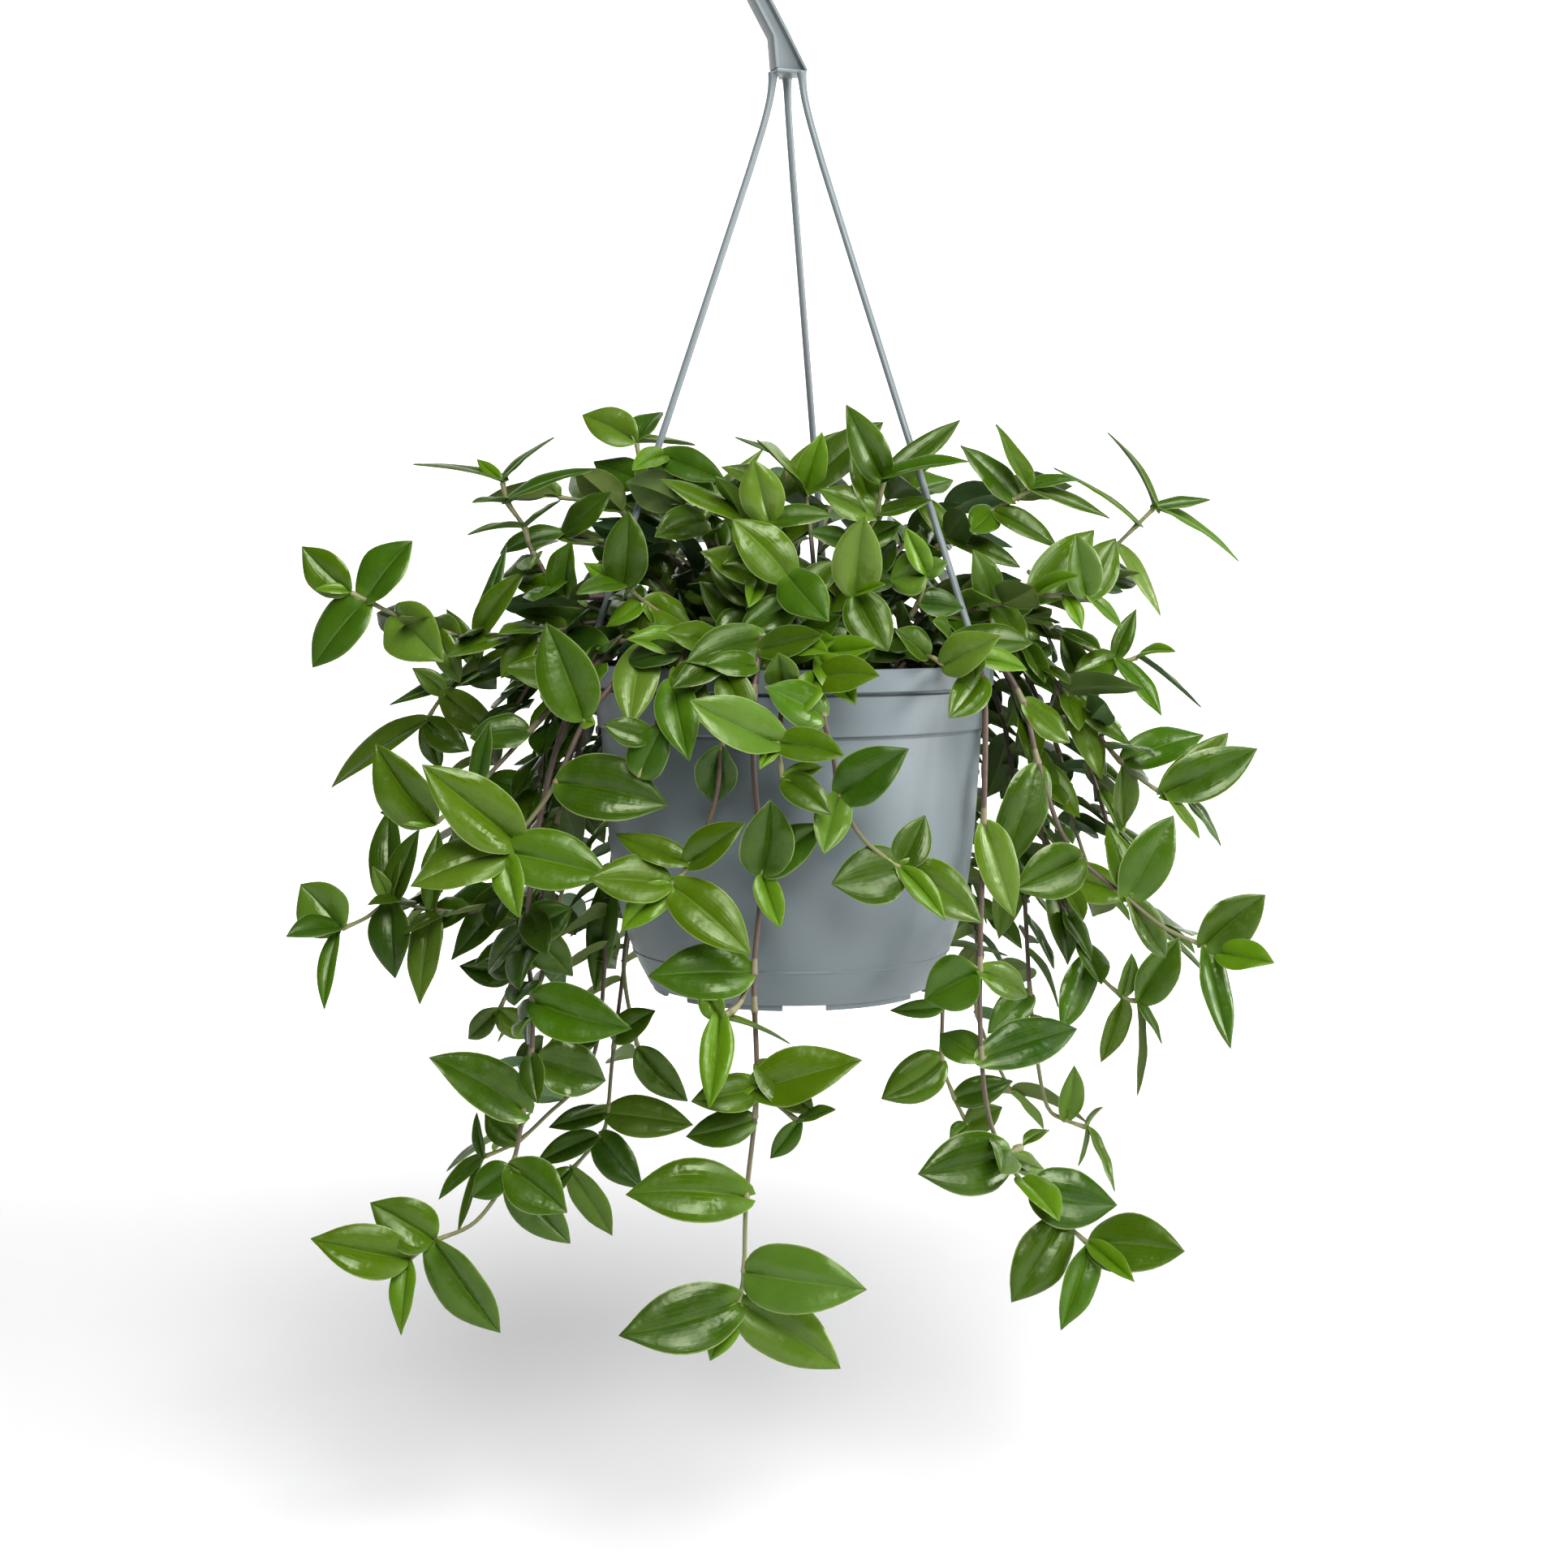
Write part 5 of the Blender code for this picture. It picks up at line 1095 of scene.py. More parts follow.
def strand_points(degrees, across):
    """A strand's middle line: down out of the hub, in a soft bend outwards, then straight to the rim."""
    outward = bearing_vector(degrees)
    offset = HEAD_OFFSET + Vector((across, 0.0, 0.0))
    points = []
    for height in STRAND_HEIGHTS:
        straight = STRAND_END - STRAND_SLOPE * (height - CLIP_TOP) - STRAND_START
        radius = STRAND_START + (straight + math.hypot(straight, 2 * STRAND_BEND)) / 2
        share = (height - CLIP_TOP) / (STRAND_HEIGHTS[0] - CLIP_TOP)
        points.append(outward * radius + offset * share + Vector((0.0, 0.0, height)))
    return points


def clip_shapes(degrees):
    """The clip at a strand's foot: a plate outside the rim's band, a bridge over the rim, a toe below it."""
    outer = RIM_RADIUS + GAP + CLIP_THICK
    low = -BAND_HEIGHT - GAP - TOE
    plate = at_bearing(degrees, low) @ Matrix.Translation((outer - CLIP_THICK / 2, 0.0, 0.0))
    bridge = at_bearing(degrees, GAP) @ Matrix.Translation((outer - BRIDGE_LENGTH / 2 - STEP, 0.0, 0.0))
    toe = at_bearing(degrees, low + STEP) @ Matrix.Translation((outer - TOE_LENGTH / 2 - STEP, 0.0, 0.0))
    return [box((CLIP_THICK, CLIP_WIDTH, CLIP_TOP - low), plate),
            box((BRIDGE_LENGTH, CLIP_WIDTH + STEP, CLIP_TOP - GAP + STEP), bridge),
            box((TOE_LENGTH, CLIP_WIDTH - STEP, TOE - STEP), toe)]


def hanger_shapes():
    """The hook, the hub below it, and each strand with its clip over the rim's band."""
    hub_low = HEAD_OFFSET + Vector((0.0, 0.0, HEAD_BOTTOM - HUB_BELOW))
    hub_high = HEAD_OFFSET + Vector((0.0, 0.0, HEAD_BOTTOM + HUB_ABOVE))
    hub = tube([hub_low, hub_high], [HUB_RADIUS * HUB_TAPER, HUB_RADIUS], HUB_SIDES)
    shapes = [hook_shape(CROOK_STEPS), hub]
    for degrees, across in STRANDS:
        radii = [STRAND_WIDTH / 2] * len(STRAND_HEIGHTS)
        shapes.append(tube(strand_points(degrees, across), radii, STRAND_SIDES, math.pi / STRAND_SIDES))
        shapes += clip_shapes(degrees)
    return shapes


class Piece:
    """Points, faces, materials and markings gathered for one mesh."""

    def __init__(self):
        self.points, self.faces, self.slots = [], [], []
        self.marks = {name: [] for name in MARKS}

    def add(self, points, faces, slots, **marks):
        """Add a shape. A marking is one number for the whole shape or one for each point."""
        start = len(self.points)
        self.points += [tuple(point) for point in points]
        self.faces += [tuple(start + corner for corner in face) for face in faces]
        self.slots += slots if isinstance(slots, list) else [slots] * len(faces)
        for name, values in self.marks.items():
            given = marks.get(name, 0.0)
            values += list(given) if hasattr(given, "__len__") else [given] * len(points)


def new_object(name, data):
    """A new object in the scene."""
    made = bpy.data.objects.new(name, data)
    bpy.context.scene.collection.objects.link(made)
    return made


def mesh_object(name, points, faces, materials=()):
    """A new object with a mesh of these points, given in millimetres, and faces."""
    mesh = bpy.data.meshes.new(name)
    mesh.from_pydata([to_row(point) for point in points], [], faces)
    for material in materials:
        mesh.materials.append(material)
    return new_object(name, mesh)


def smooth(made, sharp):
    """Shade an object smoothly, apart from edges sharper than the angle in degrees."""
    made.data.shade_smooth()
    made.data.set_sharp_from_angle(angle=math.radians(sharp))


def make_piece(name, piece, materials, replaced, sharp=LEAF_SHARP):
    """A mesh object of the gathered shapes that stands for its solid."""
    made = mesh_object(name, piece.points, piece.faces, materials)
    made.data.polygons.foreach_set("material_index", piece.slots)
    for mark, values in piece.marks.items():
        if any(values):
            made.data.attributes.new(mark, "FLOAT", "POINT").data.foreach_set("value", values)
    smooth(made, sharp)
    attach(made, "root")
    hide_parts(replaced)
    return made


def apply_modifier(made):
    """Replace an object's mesh by what its modifier makes of it."""
    bpy.context.view_layer.update()
    made.data = bpy.data.meshes.new_from_object(made.evaluated_get(bpy.context.evaluated_depsgraph_get()))
    made.modifiers.clear()


def leaf_grid(along, half_across):
    """The rows and columns of a leaf's mesh, its faces, and the material of each face."""
    across = [-place for place in reversed(half_across)] + [0.0] + half_across
    rows, columns = len(along), len(across)
    upper = [[row * columns + column for column in range(columns)] for row in range(rows)]
    start = rows * columns
    lower = [[upper[row][0]] + [start + row * (columns - 2) + column for column in range(columns - 2)]
             + [upper[row][-1]] for row in range(rows)]
    tip = start + rows * (columns - 2)
    faces, slots = [], []
    for grid, slot in ((upper, LEAF), (lower, UNDERSIDE)):
        turn = 1 if slot == LEAF else -1
        for row in range(rows - 1):
            for column in range(columns - 1):
                near, far = grid[row][column:column + 2], grid[row + 1][column:column + 2]
                faces.append((*near, *reversed(far))[::turn])
                slots.append(slot)
        for column in range(columns - 1):
            faces.append((grid[-1][column], grid[-1][column + 1], tip)[::turn])
            slots.append(slot)
    for column in range(columns - 1):
        end = [lower[0][column], lower[0][column + 1], upper[0][column + 1], upper[0][column]]
        faces.append(tuple(dict.fromkeys(end)))
        slots.append(UNDERSIDE)
    return np.array(along)[:, None], np.array(across)[None, :], faces, slots


LARGE_GRID = leaf_grid(ALONG, HALF_ACROSS)
SMALL_GRID = leaf_grid(ALONG_SMALL, HALF_ACROSS_SMALL)


def leaf_look(draw, young, tones):
    """What makes one leaf differ from the next: its shape, and its tone from the lowest to the highest."""
    ranges = dict(LEAF_RANGES, tone=tones)
    if young:
        ranges["fold"] = YOUNG_FOLD
    return {name: draw.uniform(*span) for name, span in ranges.items()}


def fine_leaf(piece, leaf, look, grid):
    """Add a thin leaf: an ovate blade folded along its sunken rib, with convex, slightly waved halves."""
    length, along, side, face = leaf_axes(leaf)
    along, side, face = (np.array(axis) for axis in (along, side, face))
    place, part, faces, slots = grid
    widest = look["widest"]
    base_part = np.clip((widest - place) / widest, 0.0, 1.0)
    tip_part = np.clip((place - widest) / (1 - widest), 0.0, 1.0)
    outline = (1 - base_part ** look["round"]) ** 0.5 * (1 - tip_part ** TIP_ROUND) ** look["point"]
    wide = leaf["width"] / 2 * np.maximum(WIDEN * outline, LEAST_WIDTH)
    # Each half's fold, bulge and waves, seen along the leaf
    fold = math.radians(look["fold"]) * (1 + BASE_FOLD * np.exp(-place / BASE_FOLD_REACH))
    out = wide * part * np.cos(fold)
    up = wide * np.abs(part) * np.sin(fold)
    up += look["bulge"] * wide * (1 - (2 * np.abs(part) - 1) ** 2) - EDGE_DROOP * wide * part ** 4
    up -= RIB_SINK * np.exp(-(part / RIB_REACH) ** 2) * (1 - place)
    swing = 2 * math.pi * look["waves"] * place + look["phase"] * np.sign(part)
    up += look["wave"] * wide * part ** 2 * np.sin(swing)
    # The twist, and the rib's own line
    turn = math.radians(look["twist"]) * (place - TWIST_MIDDLE)
    side_now = side * np.cos(turn)[..., None] + face * np.sin(turn)[..., None]
    face_now = face * np.cos(turn)[..., None] - side * np.sin(turn)[..., None]
    arch = length * 4 * place * (1 - place) * (LEAF_ARCH + look["bend"] + ARCH_SKEW * (0.5 - place))
    centre = np.array(leaf["base"]) + along * (length * place)[..., None] + face * arch[..., None]
    centre = centre + side * (length * look["sway"] * 4 * place * (1 - place))[..., None]
    lobe = look["lobe"] * length * part ** 2 * np.exp(-(place / LOBE_REACH) ** 2)
    centre = centre - along * lobe[..., None]
    sheet = centre + side_now * out[..., None] + face_now * up[..., None]
    lean = np.cos(fold)[..., None] * face_now - (np.sin(fold) * np.sign(part))[..., None] * side_now
    half = LEAF_THICK / 2 * (1 - np.abs(part) ** EDGE_POWER)[..., None]
    upper, lower = sheet + lean * half, sheet - lean * half
    points = np.concatenate([upper.reshape(-1, 3), lower[:, 1:-1].reshape(-1, 3), np.array([leaf["tip"]])])
    marks = {}
    for name, values, at_tip in (("along", place, 1.0), ("across", part, 0.0)):
        values = np.broadcast_to(values, sheet.shape[:2])
        marks[name] = np.concatenate([values.ravel(), values[:, 1:-1].ravel(), [at_tip]]).tolist()
    piece.add(points.tolist(), faces, slots, tone=look["tone"], young=float(leaf["young"]), **marks)


def trace(route):
    """Close points of a stem's smooth curve, and how far along the stem each lies."""
    points = np.array(smooth_line(route, TRACE_STEPS))
    steps = np.linalg.norm(np.diff(points, axis=0), axis=1)
    return points, np.concatenate([[0.0], np.cumsum(steps)])


def at_run(points, run, distance):
    """The point of a traced stem at a distance along it."""
    return Vector([np.interp(distance, run, points[:, axis]) for axis in range(3)])


def fine_stem(piece, route, leaves, radius, end_radius, first_age):
    """Add a round stem that swells at its nodes, with a pale sheath below each leaf."""
    points, run = trace(route)
    bases = np.array([leaf["base"] for leaf in leaves]) if leaves else np.empty((0, 3))
    nodes = sorted({round(float(run[np.argmin(np.linalg.norm(points - base, axis=1))]), 2) for base in bases})
    total = run[-1]
    stations = set(np.arange(0, total, STEM_STEP)) | {total}
    for place in nodes:
        stations |= {place + shift for shift in NODE_STATIONS}
    kept = []
    for station in sorted(station for station in stations if 0 <= station <= total):
        if not kept or station - kept[-1] > LEAST_STEP:
            kept.append(station)
    runs = np.array(kept)
    radii = radius + (end_radius - radius) * runs / total
    sheath = np.zeros(len(runs))
    for place in nodes:
        radii += NODE_SWELL * np.exp(-((runs - place) / NODE_REACH) ** 2)
        inside = (runs > place - SHEATH + SHEATH_EDGE) & (runs <= place + SHEATH_EDGE)
        sheath[inside] = 1.0
        radii[inside] += SHEATH_THICK + SHEATH_FLARE * (1 + (runs[inside] - place) / SHEATH)
    radii[-1] *= TIP_CLOSE
    centres = [at_run(points, run, station) for station in runs]
    marks = {"age": first_age + (1 - first_age) * runs / total, "sheath": sheath}
    marks = {name: np.repeat(values, STEM_FINE_SIDES).tolist() for name, values in marks.items()}
    piece.add(*tube(centres, radii.tolist(), STEM_FINE_SIDES), STEM, **marks)


def filler_leaf(draw, points, run, distance, turn):
    """A small leaf between the large ones."""
    base = at_run(points, run, distance)
    along = at_run(points, run, distance + FILLER_REACH) - at_run(points, run, distance - FILLER_REACH)
    lit = TOWARDS_LIGHT if base.y < LIT_BEFORE else 0.0
    reach, facing = side_leaf(draw, base, along.normalized(), turn, FILLER_POINTING, lit)
    length = draw.uniform(*FILLER_LENGTH)
    return {
        "base": base, "tip": base + reach * length, "width": length * draw.uniform(*FILLER_WIDTH),
        "young": draw.random() < FILLER_YOUNG, "facing": facing,
    }


def is_bare(point, draw):
    """True where the photograph shows a stem with its large leaves alone: in front, and mostly low down."""
    if point.z < BARE_BELOW:
        return draw.random() > LOW_SHARE
    return point.y < BARE_BEFORE and point.z < BARE_UNDER


def fill(stems, placed, outer):
    """Small leaves along every stem, wherever one is clear of everything else."""
    draw = random.Random(FILLER_SEED)
    for stem in stems:
        near = others(placed, stem["name"])
        points, run = trace(stem["route"])
        stem["fillers"] = []
        if stem["name"] in BARE_STEMS:
            continue
        side = 1
        for distance in np.arange(FILLER_START, run[-1] - FILLER_END, FILLER_SPACING):
            side = -side
            if is_bare(at_run(points, run, distance), draw):
                continue
            for _ in range(FILLER_DRAWS):
                turn = side * math.radians(draw.uniform(*FILLER_TURN))
                leaf = filler_leaf(draw, points, run, distance, turn)
                if place_leaf(placed, outer, stem["name"], leaf, near, FILLER_CLEAR):
                    stem["fillers"].append(leaf)
                    break


def rounded(outline, radius, steps=4):
    """The outline with each corner turned into an arc that starts about this far from it."""
    result = [outline[0]]
    for before, corner, after in zip(outline, outline[1:], outline[2:]):
        start = Vector((before[0] - corner[0], before[1] - corner[1]))
        end = Vector((after[0] - corner[0], after[1] - corner[1]))
        reach = min(radius, start.length * ROUND_SHARE, end.length * ROUND_SHARE)
        first, last = start.normalized() * reach, end.normalized() * reach
        for step in range(steps + 1):
            share = step / steps
            bend = first * (1 - share) ** 2 + last * share ** 2
            result.append((corner[0] + bend.x, corner[1] + bend.y))
    return result + [outline[-1]]


def fine_pot(material):
    """The pot with a rolled rim, a groove under the step, a raised line, foot segments and drain holes."""
    wall = [Vector((radius, 0.0, height)) for radius, height in OUTSIDE[:7]]
    places = np.linspace(0, len(wall) - 1, POT_CURVE_POINTS)
    curve = [(point.x, point.z) for point in (smooth_point(wall, place) for place in places)]
    low_part = [point for point in curve if point[1] < LINE_HEIGHT - LINE_WIDTH]
    high_part = [point for point in curve if point[1] > LINE_HEIGHT + LINE_WIDTH]
    radii, heights = zip(*curve)
    line = [(np.interp(LINE_HEIGHT + rise, heights, radii) + out, LINE_HEIGHT + rise)
            for out, rise in LINE_CORNERS]
    wall_radius, wall_height = OUTSIDE[6]
    groove = [(wall_radius + out, wall_height + rise) for out, rise in GROOVE_CORNERS]
    foot = [(radius, BASE - depth) for radius, depth in ((FOOT_INNER, 0.0), (FOOT_INNER, FOOT_HEIGHT),
                                                         (FOOT_FINE, FOOT_HEIGHT), (FOOT_FINE, 0.0))]
    step, band = OUTSIDE[7:8], OUTSIDE[9:]
    outline = foot + low_part + line + high_part + groove + step + BAND_GROOVE + band + INSIDE
    outline = [(0.0, BASE)] + rounded(outline, POT_EDGE) + [(0.0, BASE + WALL)]
    piece = Piece()
    piece.add(*turned(outline, POT_FINE_SIDES), 0)
    shell = make_piece("fine_pot", piece, [material], "pot", POT_SHARP)
    cutters = Piece()
    for number in range(FOOT_GAPS):
        place = at_bearing(FOOT_TURN + 360 * number / FOOT_GAPS, BASE - 2 * FOOT_HEIGHT)
        place = place @ Matrix.Translation((FOOT_OUTER, 0, 0))
        cutters.add(*box((FOOT_GAP_LENGTH, FOOT_GAP_WIDTH, 2 * FOOT_HEIGHT), place), 0)
    for number in range(DRAIN_HOLES):
        middle = bearing_vector(360 * (number + 0.5) / DRAIN_HOLES) * DRAIN_CIRCLE
        ends = [middle + Vector((0.0, 0.0, BASE - WALL)), middle + Vector((0.0, 0.0, BASE + 2 * WALL))]
        cutters.add(*tube(ends, [DRAIN_RADIUS] * 2, DRAIN_SIDES), 0)
    cut(shell, cutters)
    smooth(shell, POT_SHARP)


def cut(target, cutters, operation="DIFFERENCE"):
    """Cut the gathered shapes from a mesh object, or join them to it, and apply the result."""
    cutter = mesh_object("cutters", cutters.points, cutters.faces)
    modifier = target.modifiers.new("cut", "BOOLEAN")
    modifier.operation = operation
    modifier.object = cutter
    modifier.solver = "EXACT"
    modifier.use_self = operation == "UNION"
    apply_modifier(target)
    bpy.data.objects.remove(cutter)


def fine_soil(material):
    """The fill of soil with an uneven top, and loose crumbs and bits of bark lying in it."""
    piece = Piece()
    top = SOIL_TOP - SOIL_DROP
    outline = soil_wall() + [(SOIL_REACH, SOIL_TOP - SOIL_EDGE_DROP)]
    outline += [(SOIL_REACH * (1 - (ring + 0.5) / SOIL_RINGS), top) for ring in range(SOIL_RINGS)]
    points, faces = turned(outline + [(0.0, top)], SOIL_SIDES)
    for point in points:
        if point.z > SOIL_TOP - SOIL_BUMPS_REACH:
            lift = sum(height * noise.noise(point / size) for height, size in SOIL_BUMPS)
            point += Vector((0.0, 0.0, lift))
    piece.add(points, faces, 0, tone=SOIL_TONE)
    draw = random.Random(CRUMB_SEED)
    for _ in range(CRUMBS):
        angle, radius = draw.uniform(0, 2 * math.pi), CRUMB_REACH * math.sqrt(draw.random())
        size = draw.uniform(*CRUMB_SIZE)
        height = SOIL_TOP + draw.uniform(*CRUMB_RISE)
        crumb(piece, draw, Vector((radius * math.cos(angle), radius * math.sin(angle), height)), size)
    make_piece("fine_soil", piece, [material], "soil")


def crumb(piece, draw, middle, size):
    """Add one small lump: a ball of three rings with every corner pushed in or out."""
    turn = Matrix.Rotation(draw.uniform(0, FULL_TURN), 3, (draw.uniform(-1, 1), draw.uniform(-1, 1), 1.0))
    stretch = Vector([draw.uniform(*span) for span in CRUMB_STRETCH]) * size
    points, faces = turned(CRUMB_OUTLINE, CRUMB_SIDES)
    shaped = [middle + turn @ (point * draw.uniform(*CRUMB_ROUGH) * stretch) for point in points]
    piece.add(shaped, faces, 0, tone=draw.random())


def bevelled(name, shape, width, material):
    """A mesh object of the shape with every sharp edge rounded, applied."""
    made = mesh_object(name, *shape, [material])
    modifier = made.modifiers.new("edges", "BEVEL")
    modifier.width = width * METRES
    modifier.segments = BEVEL_SEGMENTS
    modifier.limit_method = "ANGLE"
    modifier.angle_limit = BEVEL_ANGLE
    apply_modifier(made)
    return made


def fine_hanger(material):
    """The ribbed hook, the hub with its three round strands, and a clip at the foot of each strand."""
    parts = [bevelled("hook", hook_shape(CROOK_FINE_STEPS), HOOK_EDGE, material)]
    place = Matrix.Translation(HEAD_OFFSET + Vector((0.0, 0.0, HEAD_BOTTOM - HUB_BELOW)))
    place = place @ Matrix.Rotation(HOOK_TURN, 4, "Z")
    for size, shift in ((PLATE_SIZE, PLATE_SHIFT), (NECK_SIZE, NECK_SHIFT), (BOSS_SIZE, BOSS_SHIFT)):
        parts.append(bevelled("plate", box(size, place @ Matrix.Translation(shift)), HOOK_EDGE, material))
    for degrees, across in STRANDS:
        line = smooth_line(strand_points(degrees, across), STRAND_CUTS)
        radii = [STRAND_FINE + STRAND_FLARE * math.exp(-(HEAD_BOTTOM - point.z) / STRAND_FLARE_REACH)
                 for point in line]
        parts.append(bevelled("strand", tube(line, radii, STRAND_FINE_SIDES), STRAND_EDGE, material))
        parts += [bevelled("clip", shape, CLIP_EDGE, material) for shape in clip_shapes(degrees)]
    first = parts[0]
    for part in parts[1:]:
        shape = Piece()
        shape.add([vertex.co / METRES + Vector((0.0, 0.0, SEAT_ABOVE_RIM)) for vertex in part.data.vertices],
                  [tuple(face.vertices) for face in part.data.polygons], 0)
        bpy.data.objects.remove(part)
        cut(first, shape, "UNION")
    first.name = "fine_hanger"
    smooth(first, HANGER_SHARP)
    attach(first, "root")
    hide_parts("hanger")


def join(tree, socket, value):
    """Link a socket to another node's output, or set it to a value."""
    if isinstance(value, bpy.types.NodeSocket):
        tree.links.new(value, socket)
    else:
        socket.default_value = value


def set_inputs(tree, shader, inputs):
    """Join each named input of a node."""
    for key, value in inputs.items():
        join(tree, shader.inputs[key], value)


def node(tree, kind, inputs=None, **settings):
    """A shader node with its settings, and its inputs joined to other nodes' outputs or set to values."""
    made = tree.nodes.new("ShaderNode" + kind)
    for key, value in settings.items():
        setattr(made, key, value)
    set_inputs(tree, made, inputs or {})
    return made


def mark(tree, name):
    """A marking of the mesh as a number."""
    return node(tree, "Attribute", attribute_name=name, attribute_type="GEOMETRY").outputs["Fac"]


def math_node(tree, operation, *values):
    """The result of a sum on numbers or other nodes' outputs."""
    return node(tree, "Math", dict(enumerate(values)), operation=operation).outputs[0]


def ramp(tree, value, low, high, at_low=0.0, at_high=1.0):
    """A smooth step of a value from one number to another."""
    return node(tree, "MapRange", {"Value": value, "From Min": low, "From Max": high, "To Min": at_low,
                                   "To Max": at_high}, interpolation_type="SMOOTHSTEP").outputs[0]


def mix(tree, share, first, second, blend="MIX"):
    """A mix of two colours, each a socket or three numbers."""
    made = node(tree, "Mix", {0: share}, data_type="RGBA", blend_type=blend)
    colours = [socket for socket in made.inputs if socket.type == "RGBA"]
    for socket, value in zip(colours, (first, second)):
        join(tree, socket, (*value, 1.0) if isinstance(value, tuple) else value)
    return [socket for socket in made.outputs if socket.type == "RGBA"][0]


def spots(tree, scale, detail=3.0, roughness=0.5):
    """Noise in the object's own space; the scale is per metre."""
    place = node(tree, "TexCoord").outputs["Object"]
    return node(tree, "TexNoise", {"Vector": place, "Scale": scale, "Detail": detail,
                                   "Roughness": roughness}).outputs[0]


def bump(tree, height, strength, distance):
    """The surface's direction with bumps of this height; the distance is in metres."""
    return node(tree, "Bump", {"Height": height, "Strength": strength, "Distance": distance}).outputs[0]


def new_material(name):
    """A new material with its node tree and its shader."""
    made = bpy.data.materials.new(name)
    made.use_nodes = True
    return made, made.node_tree, made.node_tree.nodes["Principled BSDF"]


def leaf_material(name, dark, light, young_colour, roughness):
    """Waxy leaf tissue: parallel veins, a paler rib and margin, and a tone that differs from leaf to leaf."""
    made, tree, shader = new_material(name)
    across = math_node(tree, "ABSOLUTE", mark(tree, "across"))
    along, tone, young = mark(tree, "along"), mark(tree, "tone"), mark(tree, "young")
    # The leaf's own colour, with a painted sheen on the lightest-toned leaves
    warmth = math_node(tree, "SINE", math_node(tree, "MULTIPLY", tone, WARMTH_TURNS))
    colour = mix(tree, tone, dark, light)
    colour = mix(tree, ramp(tree, warmth, *WARM_RAMP), colour, WARM_TINT, "MULTIPLY")
    colour = mix(tree, ramp(tree, warmth, *COOL_RAMP), colour, COOL_TINT, "MULTIPLY")
    # Painted sheen: the lightest tones turn pale milky green
    colour = mix(tree, ramp(tree, tone, *PAINTED_SHEEN_RAMP), colour, LEAF_PAINTED_SHEEN)
    colour = mix(tree, young, colour, young_colour)
    blotch = ramp(tree, spots(tree, BLOTCHES), *BLOTCH_RAMP)
    colour = mix(tree, blotch, colour, mix(tree, BLOTCH_SHARE, colour, light))
    # Veins, base, rib, margin and tip
    vein = math_node(tree, "SINE", math_node(tree, "MULTIPLY", across, 2 * math.pi * VEINS))
    vein = ramp(tree, vein, *VEIN_RAMP)
    rib = math_node(tree, "MULTIPLY", ramp(tree, across, *RIB_RAMP), ramp(tree, tone, *RIB_TONE_RAMP))
    for share, marking in ((math_node(tree, "MULTIPLY", vein, VEIN_SHARE), VEIN_COLOUR),
                           (ramp(tree, along, *BASE_RAMP), VEIN_COLOUR),
                           (rib, RIB_COLOUR),
                           (ramp(tree, across, *MARGIN_RAMP), MARGIN_COLOUR),
                           (ramp(tree, along, *TIP_RAMP), TIP_COLOUR)):
        colour = mix(tree, share, colour, marking)
    # Bumps and shine
    grain = math_node(tree, "MULTIPLY", spots(tree, *GRAIN), GRAIN_HEIGHT)
    height = math_node(tree, "MULTIPLY_ADD", vein, VEIN_HEIGHT, grain)
    height = math_node(tree, "MULTIPLY_ADD", spots(tree, *DIMPLES), DIMPLE_HEIGHT, height)
    normal = bump(tree, height, *LEAF_BUMP)
    shine = spots(tree, SHINE_PATCHES)
    rough = ramp(tree, shine, *SHINE_RAMP, roughness - SHINIER, roughness + DULLER)
    set_inputs(tree, shader, {"Base Color": colour, "Roughness": rough, "Normal": normal,
                              "Specular IOR Level": LEAF_SPECULAR, "Specular Tint": SHEEN_TINT})
    glow = mix(tree, young, GLOW, GLOW_YOUNG)
    clear = node(tree, "BsdfTranslucent", {"Color": glow, "Normal": normal})
    both = node(tree, "MixShader", {0: GLOW_SHARE, 1: shader.outputs[0], 2: clear.outputs[0]})
    join(tree, tree.nodes["Material Output"].inputs["Surface"], both.outputs[0])
    return made


def stem_material():
    """Purple-brown skin that turns green towards the tip, with pale sheaths at the nodes."""
    made, tree, shader = new_material("stem_skin")
    old = mix(tree, spots(tree, OLD_SPOTS), *STEM_OLD)
    fresh = mix(tree, spots(tree, FRESH_SPOTS), *STEM_FRESH)
    colour = mix(tree, ramp(tree, mark(tree, "age"), *FRESH_RAMP), old, fresh)
    sheath = math_node(tree, "MULTIPLY", mark(tree, "sheath"), SHEATH_SHARE)
    colour = mix(tree, sheath, colour, SHEATH_COLOUR)
    normal = bump(tree, spots(tree, STEM_GRAIN), *STEM_BUMP)
    set_inputs(tree, shader, {"Base Color": colour, "Roughness": STEM_ROUGHNESS, "Normal": normal})
    return made


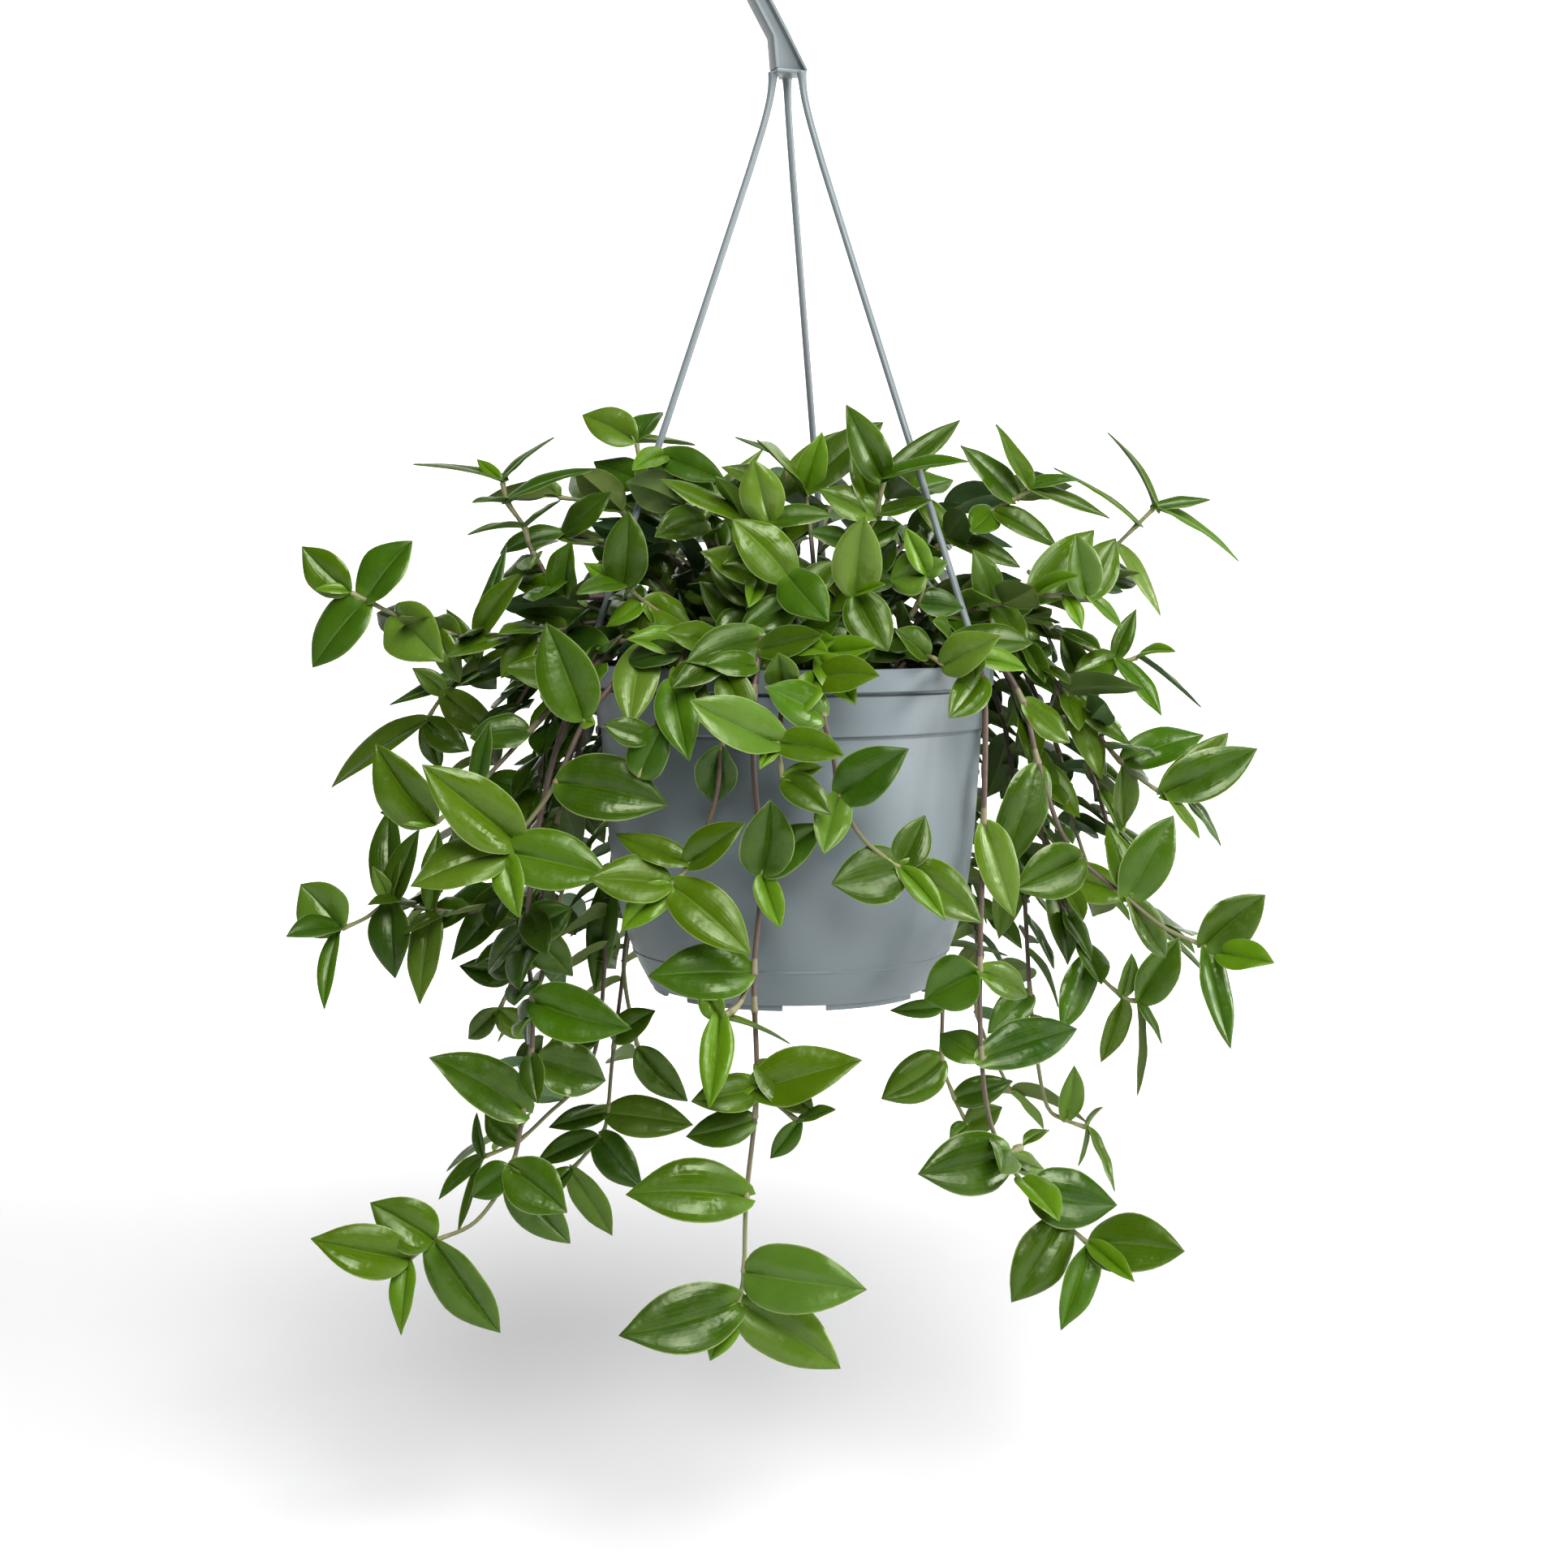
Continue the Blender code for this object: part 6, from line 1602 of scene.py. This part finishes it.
def plastic(name, base, light, roughness, shade_lines=()):
    """Moulded plastic: fine grain, slightly uneven gloss, and painted shade lines at the given heights."""
    made, tree, shader = new_material(name)
    colour = mix(tree, ramp(tree, spots(tree, CLOUDS), *CLOUD_RAMP), base, light)
    speck = ramp(tree, spots(tree, *SPECKS), *SPECK_RAMP)
    colour = mix(tree, speck, colour, tuple(part * SPECK_DARKNESS for part in base))
    place = node(tree, "TexCoord").outputs["Object"]
    height = node(tree, "SeparateXYZ", {"Vector": place}).outputs["Z"]
    # Painted shade: the colour darkens in a band at each given height, as if shaded by an overhang
    for shade_line, half_wide in shade_lines:
        level = (shade_line - SEAT_ABOVE_RIM) * METRES
        away = math_node(tree, "ABSOLUTE", math_node(tree, "SUBTRACT", height, level))
        edge = half_wide * METRES
        dark = ramp(tree, away, PAINTED_SHADE_CORE * edge, edge, PAINTED_SHADE_STRENGTH, 0.0)
        colour = mix(tree, dark, colour, PAINTED_SHADE_COLOUR)
    gloss = spots(tree, GLOSS_PATCHES)
    rough = ramp(tree, gloss, *GLOSS_RAMP, roughness - GLOSSIER, roughness + LESS_GLOSSY)
    normal = bump(tree, spots(tree, *PLASTIC_GRAIN), *PLASTIC_BUMP)
    set_inputs(tree, shader, {"Base Color": colour, "Roughness": rough, "Normal": normal})
    return made


def soil_material():
    """Dark peat with paler bits of bark and fibre."""
    made, tree, shader = new_material("peat")
    colour = mix(tree, spots(tree, *PEAT_SPOTS), *SOIL_COLOURS)
    colour = mix(tree, ramp(tree, mark(tree, "tone"), *BARK_RAMP), colour, BARK_COLOUR)
    normal = bump(tree, spots(tree, *PEAT_GRAIN), *PEAT_BUMP)
    set_inputs(tree, shader, {"Base Color": colour, "Roughness": SOIL_ROUGHNESS, "Normal": normal})
    return made


def stage():
    """A pale floor that sweeps up behind, a white surround, soft lights and the camera."""
    profile = [(-STAGE_FRONT, 0.0)]
    for step in range(SWEEP_STEPS + 1):
        angle = math.pi / 2 * step / SWEEP_STEPS
        profile.append((STAGE_BACK + SWEEP * math.sin(angle), SWEEP * (1 - math.cos(angle))))
    profile.append((STAGE_BACK + SWEEP, STAGE_HEIGHT))
    points = [(x, y, FLOOR + z) for y, z in profile for x in (-STAGE_HALF, STAGE_HALF)]
    faces = [(2 * row, 2 * row + 1, 2 * row + 3, 2 * row + 2) for row in range(len(profile) - 1)]
    paper, tree, shader = new_material("backdrop_paper")
    place = node(tree, "SeparateXYZ", {"Vector": node(tree, "TexCoord").outputs["Object"]})
    glow = ramp(tree, place.outputs["Y"], GLOW_START * METRES, GLOW_END * METRES, FLOOR_GLOW, WALL_GLOW)
    set_inputs(tree, shader, {"Base Color": BACKDROP_COLOUR, "Roughness": BACKDROP_ROUGHNESS,
                              "Emission Color": WHITE, "Emission Strength": glow})
    backdrop = mesh_object("backdrop", points, faces, [paper])
    backdrop.data.shade_smooth()

    world = bpy.data.worlds.new("studio")
    world.use_nodes = True
    surround = world.node_tree.nodes["Background"]
    set_inputs(world.node_tree, surround, {"Color": WHITE, "Strength": WORLD_STRENGTH})
    bpy.context.scene.world = world
    bpy.context.scene.view_settings.view_transform = "Standard"

    target = Vector(to_row(LAMP_TARGET))
    for name, place, size, power in LIGHTS:
        lamp = bpy.data.lights.new(name, "AREA")
        lamp.shape = "SQUARE"
        lamp.size = size * METRES
        lamp.energy = power
        light = new_object(name, lamp)
        light.location = to_row(place)
        light.rotation_euler = (target - Vector(light.location)).to_track_quat("-Z", "Y").to_euler()

    lens = bpy.data.cameras.new("camera")
    lens.lens = LENS_LENGTH
    lens.sensor_width = SENSOR_WIDTH
    camera = new_object("camera", lens)
    camera.location = to_row(EYE)
    camera.rotation_euler = (math.pi / 2 - CAMERA_PITCH, 0.0, 0.0)
    bpy.context.scene.camera = camera


def dress_stem(stem, draw, materials):
    """The fine piece of one leafy stem: its stem and shoots, its large leaves and its small ones."""
    piece = Piece()
    fine_stem(piece, stem["route"], stem["leaves"], STEM_FINE_RADIUS, STEM_FINE_END, 0.0)
    for route, _ in stem["shoots"]:
        fine_stem(piece, route, stem["leaves"], SHOOT_RADIUS, SHOOT_RADIUS * SHOOT_TAPER, SHOOT_AGE)
    # Small leaves draw from darker tones, painted shade for the plant's inside
    for leaves, tones, grid in ((stem["leaves"], LARGE_TONES, LARGE_GRID),
                                (stem["fillers"], SMALL_PAINTED_SHADE_TONES, SMALL_GRID)):
        for leaf in leaves:
            fine_leaf(piece, leaf, leaf_look(draw, leaf["young"], tones), grid)
    make_piece("fine_" + stem["name"], piece, materials, stem["name"])


def dress():
    """Every piece of the plant, its pot and its hanger."""
    stems, placed, outer = grow()
    fill(stems, placed, outer)
    materials = [leaf_material("leaf", LEAF_DARK, LEAF_LIGHT, LEAF_YOUNG, LEAF_ROUGHNESS),
                 leaf_material("leaf_underside", UNDER_DARK, UNDER_LIGHT, UNDER_YOUNG, UNDER_ROUGHNESS),
                 stem_material()]
    draw = random.Random(LOOK_SEED)
    for stem in stems:
        dress_stem(stem, draw, materials)
    fine_pot(plastic("pot_plastic_fine", *POT_COLOURS, POT_ROUGHNESS, POT_PAINTED_SHADE_LINES))
    fine_soil(soil_material())
    fine_hanger(plastic("hanger_plastic_fine", *HANGER_COLOURS, HANGER_ROUGHNESS))


dress()
stage()
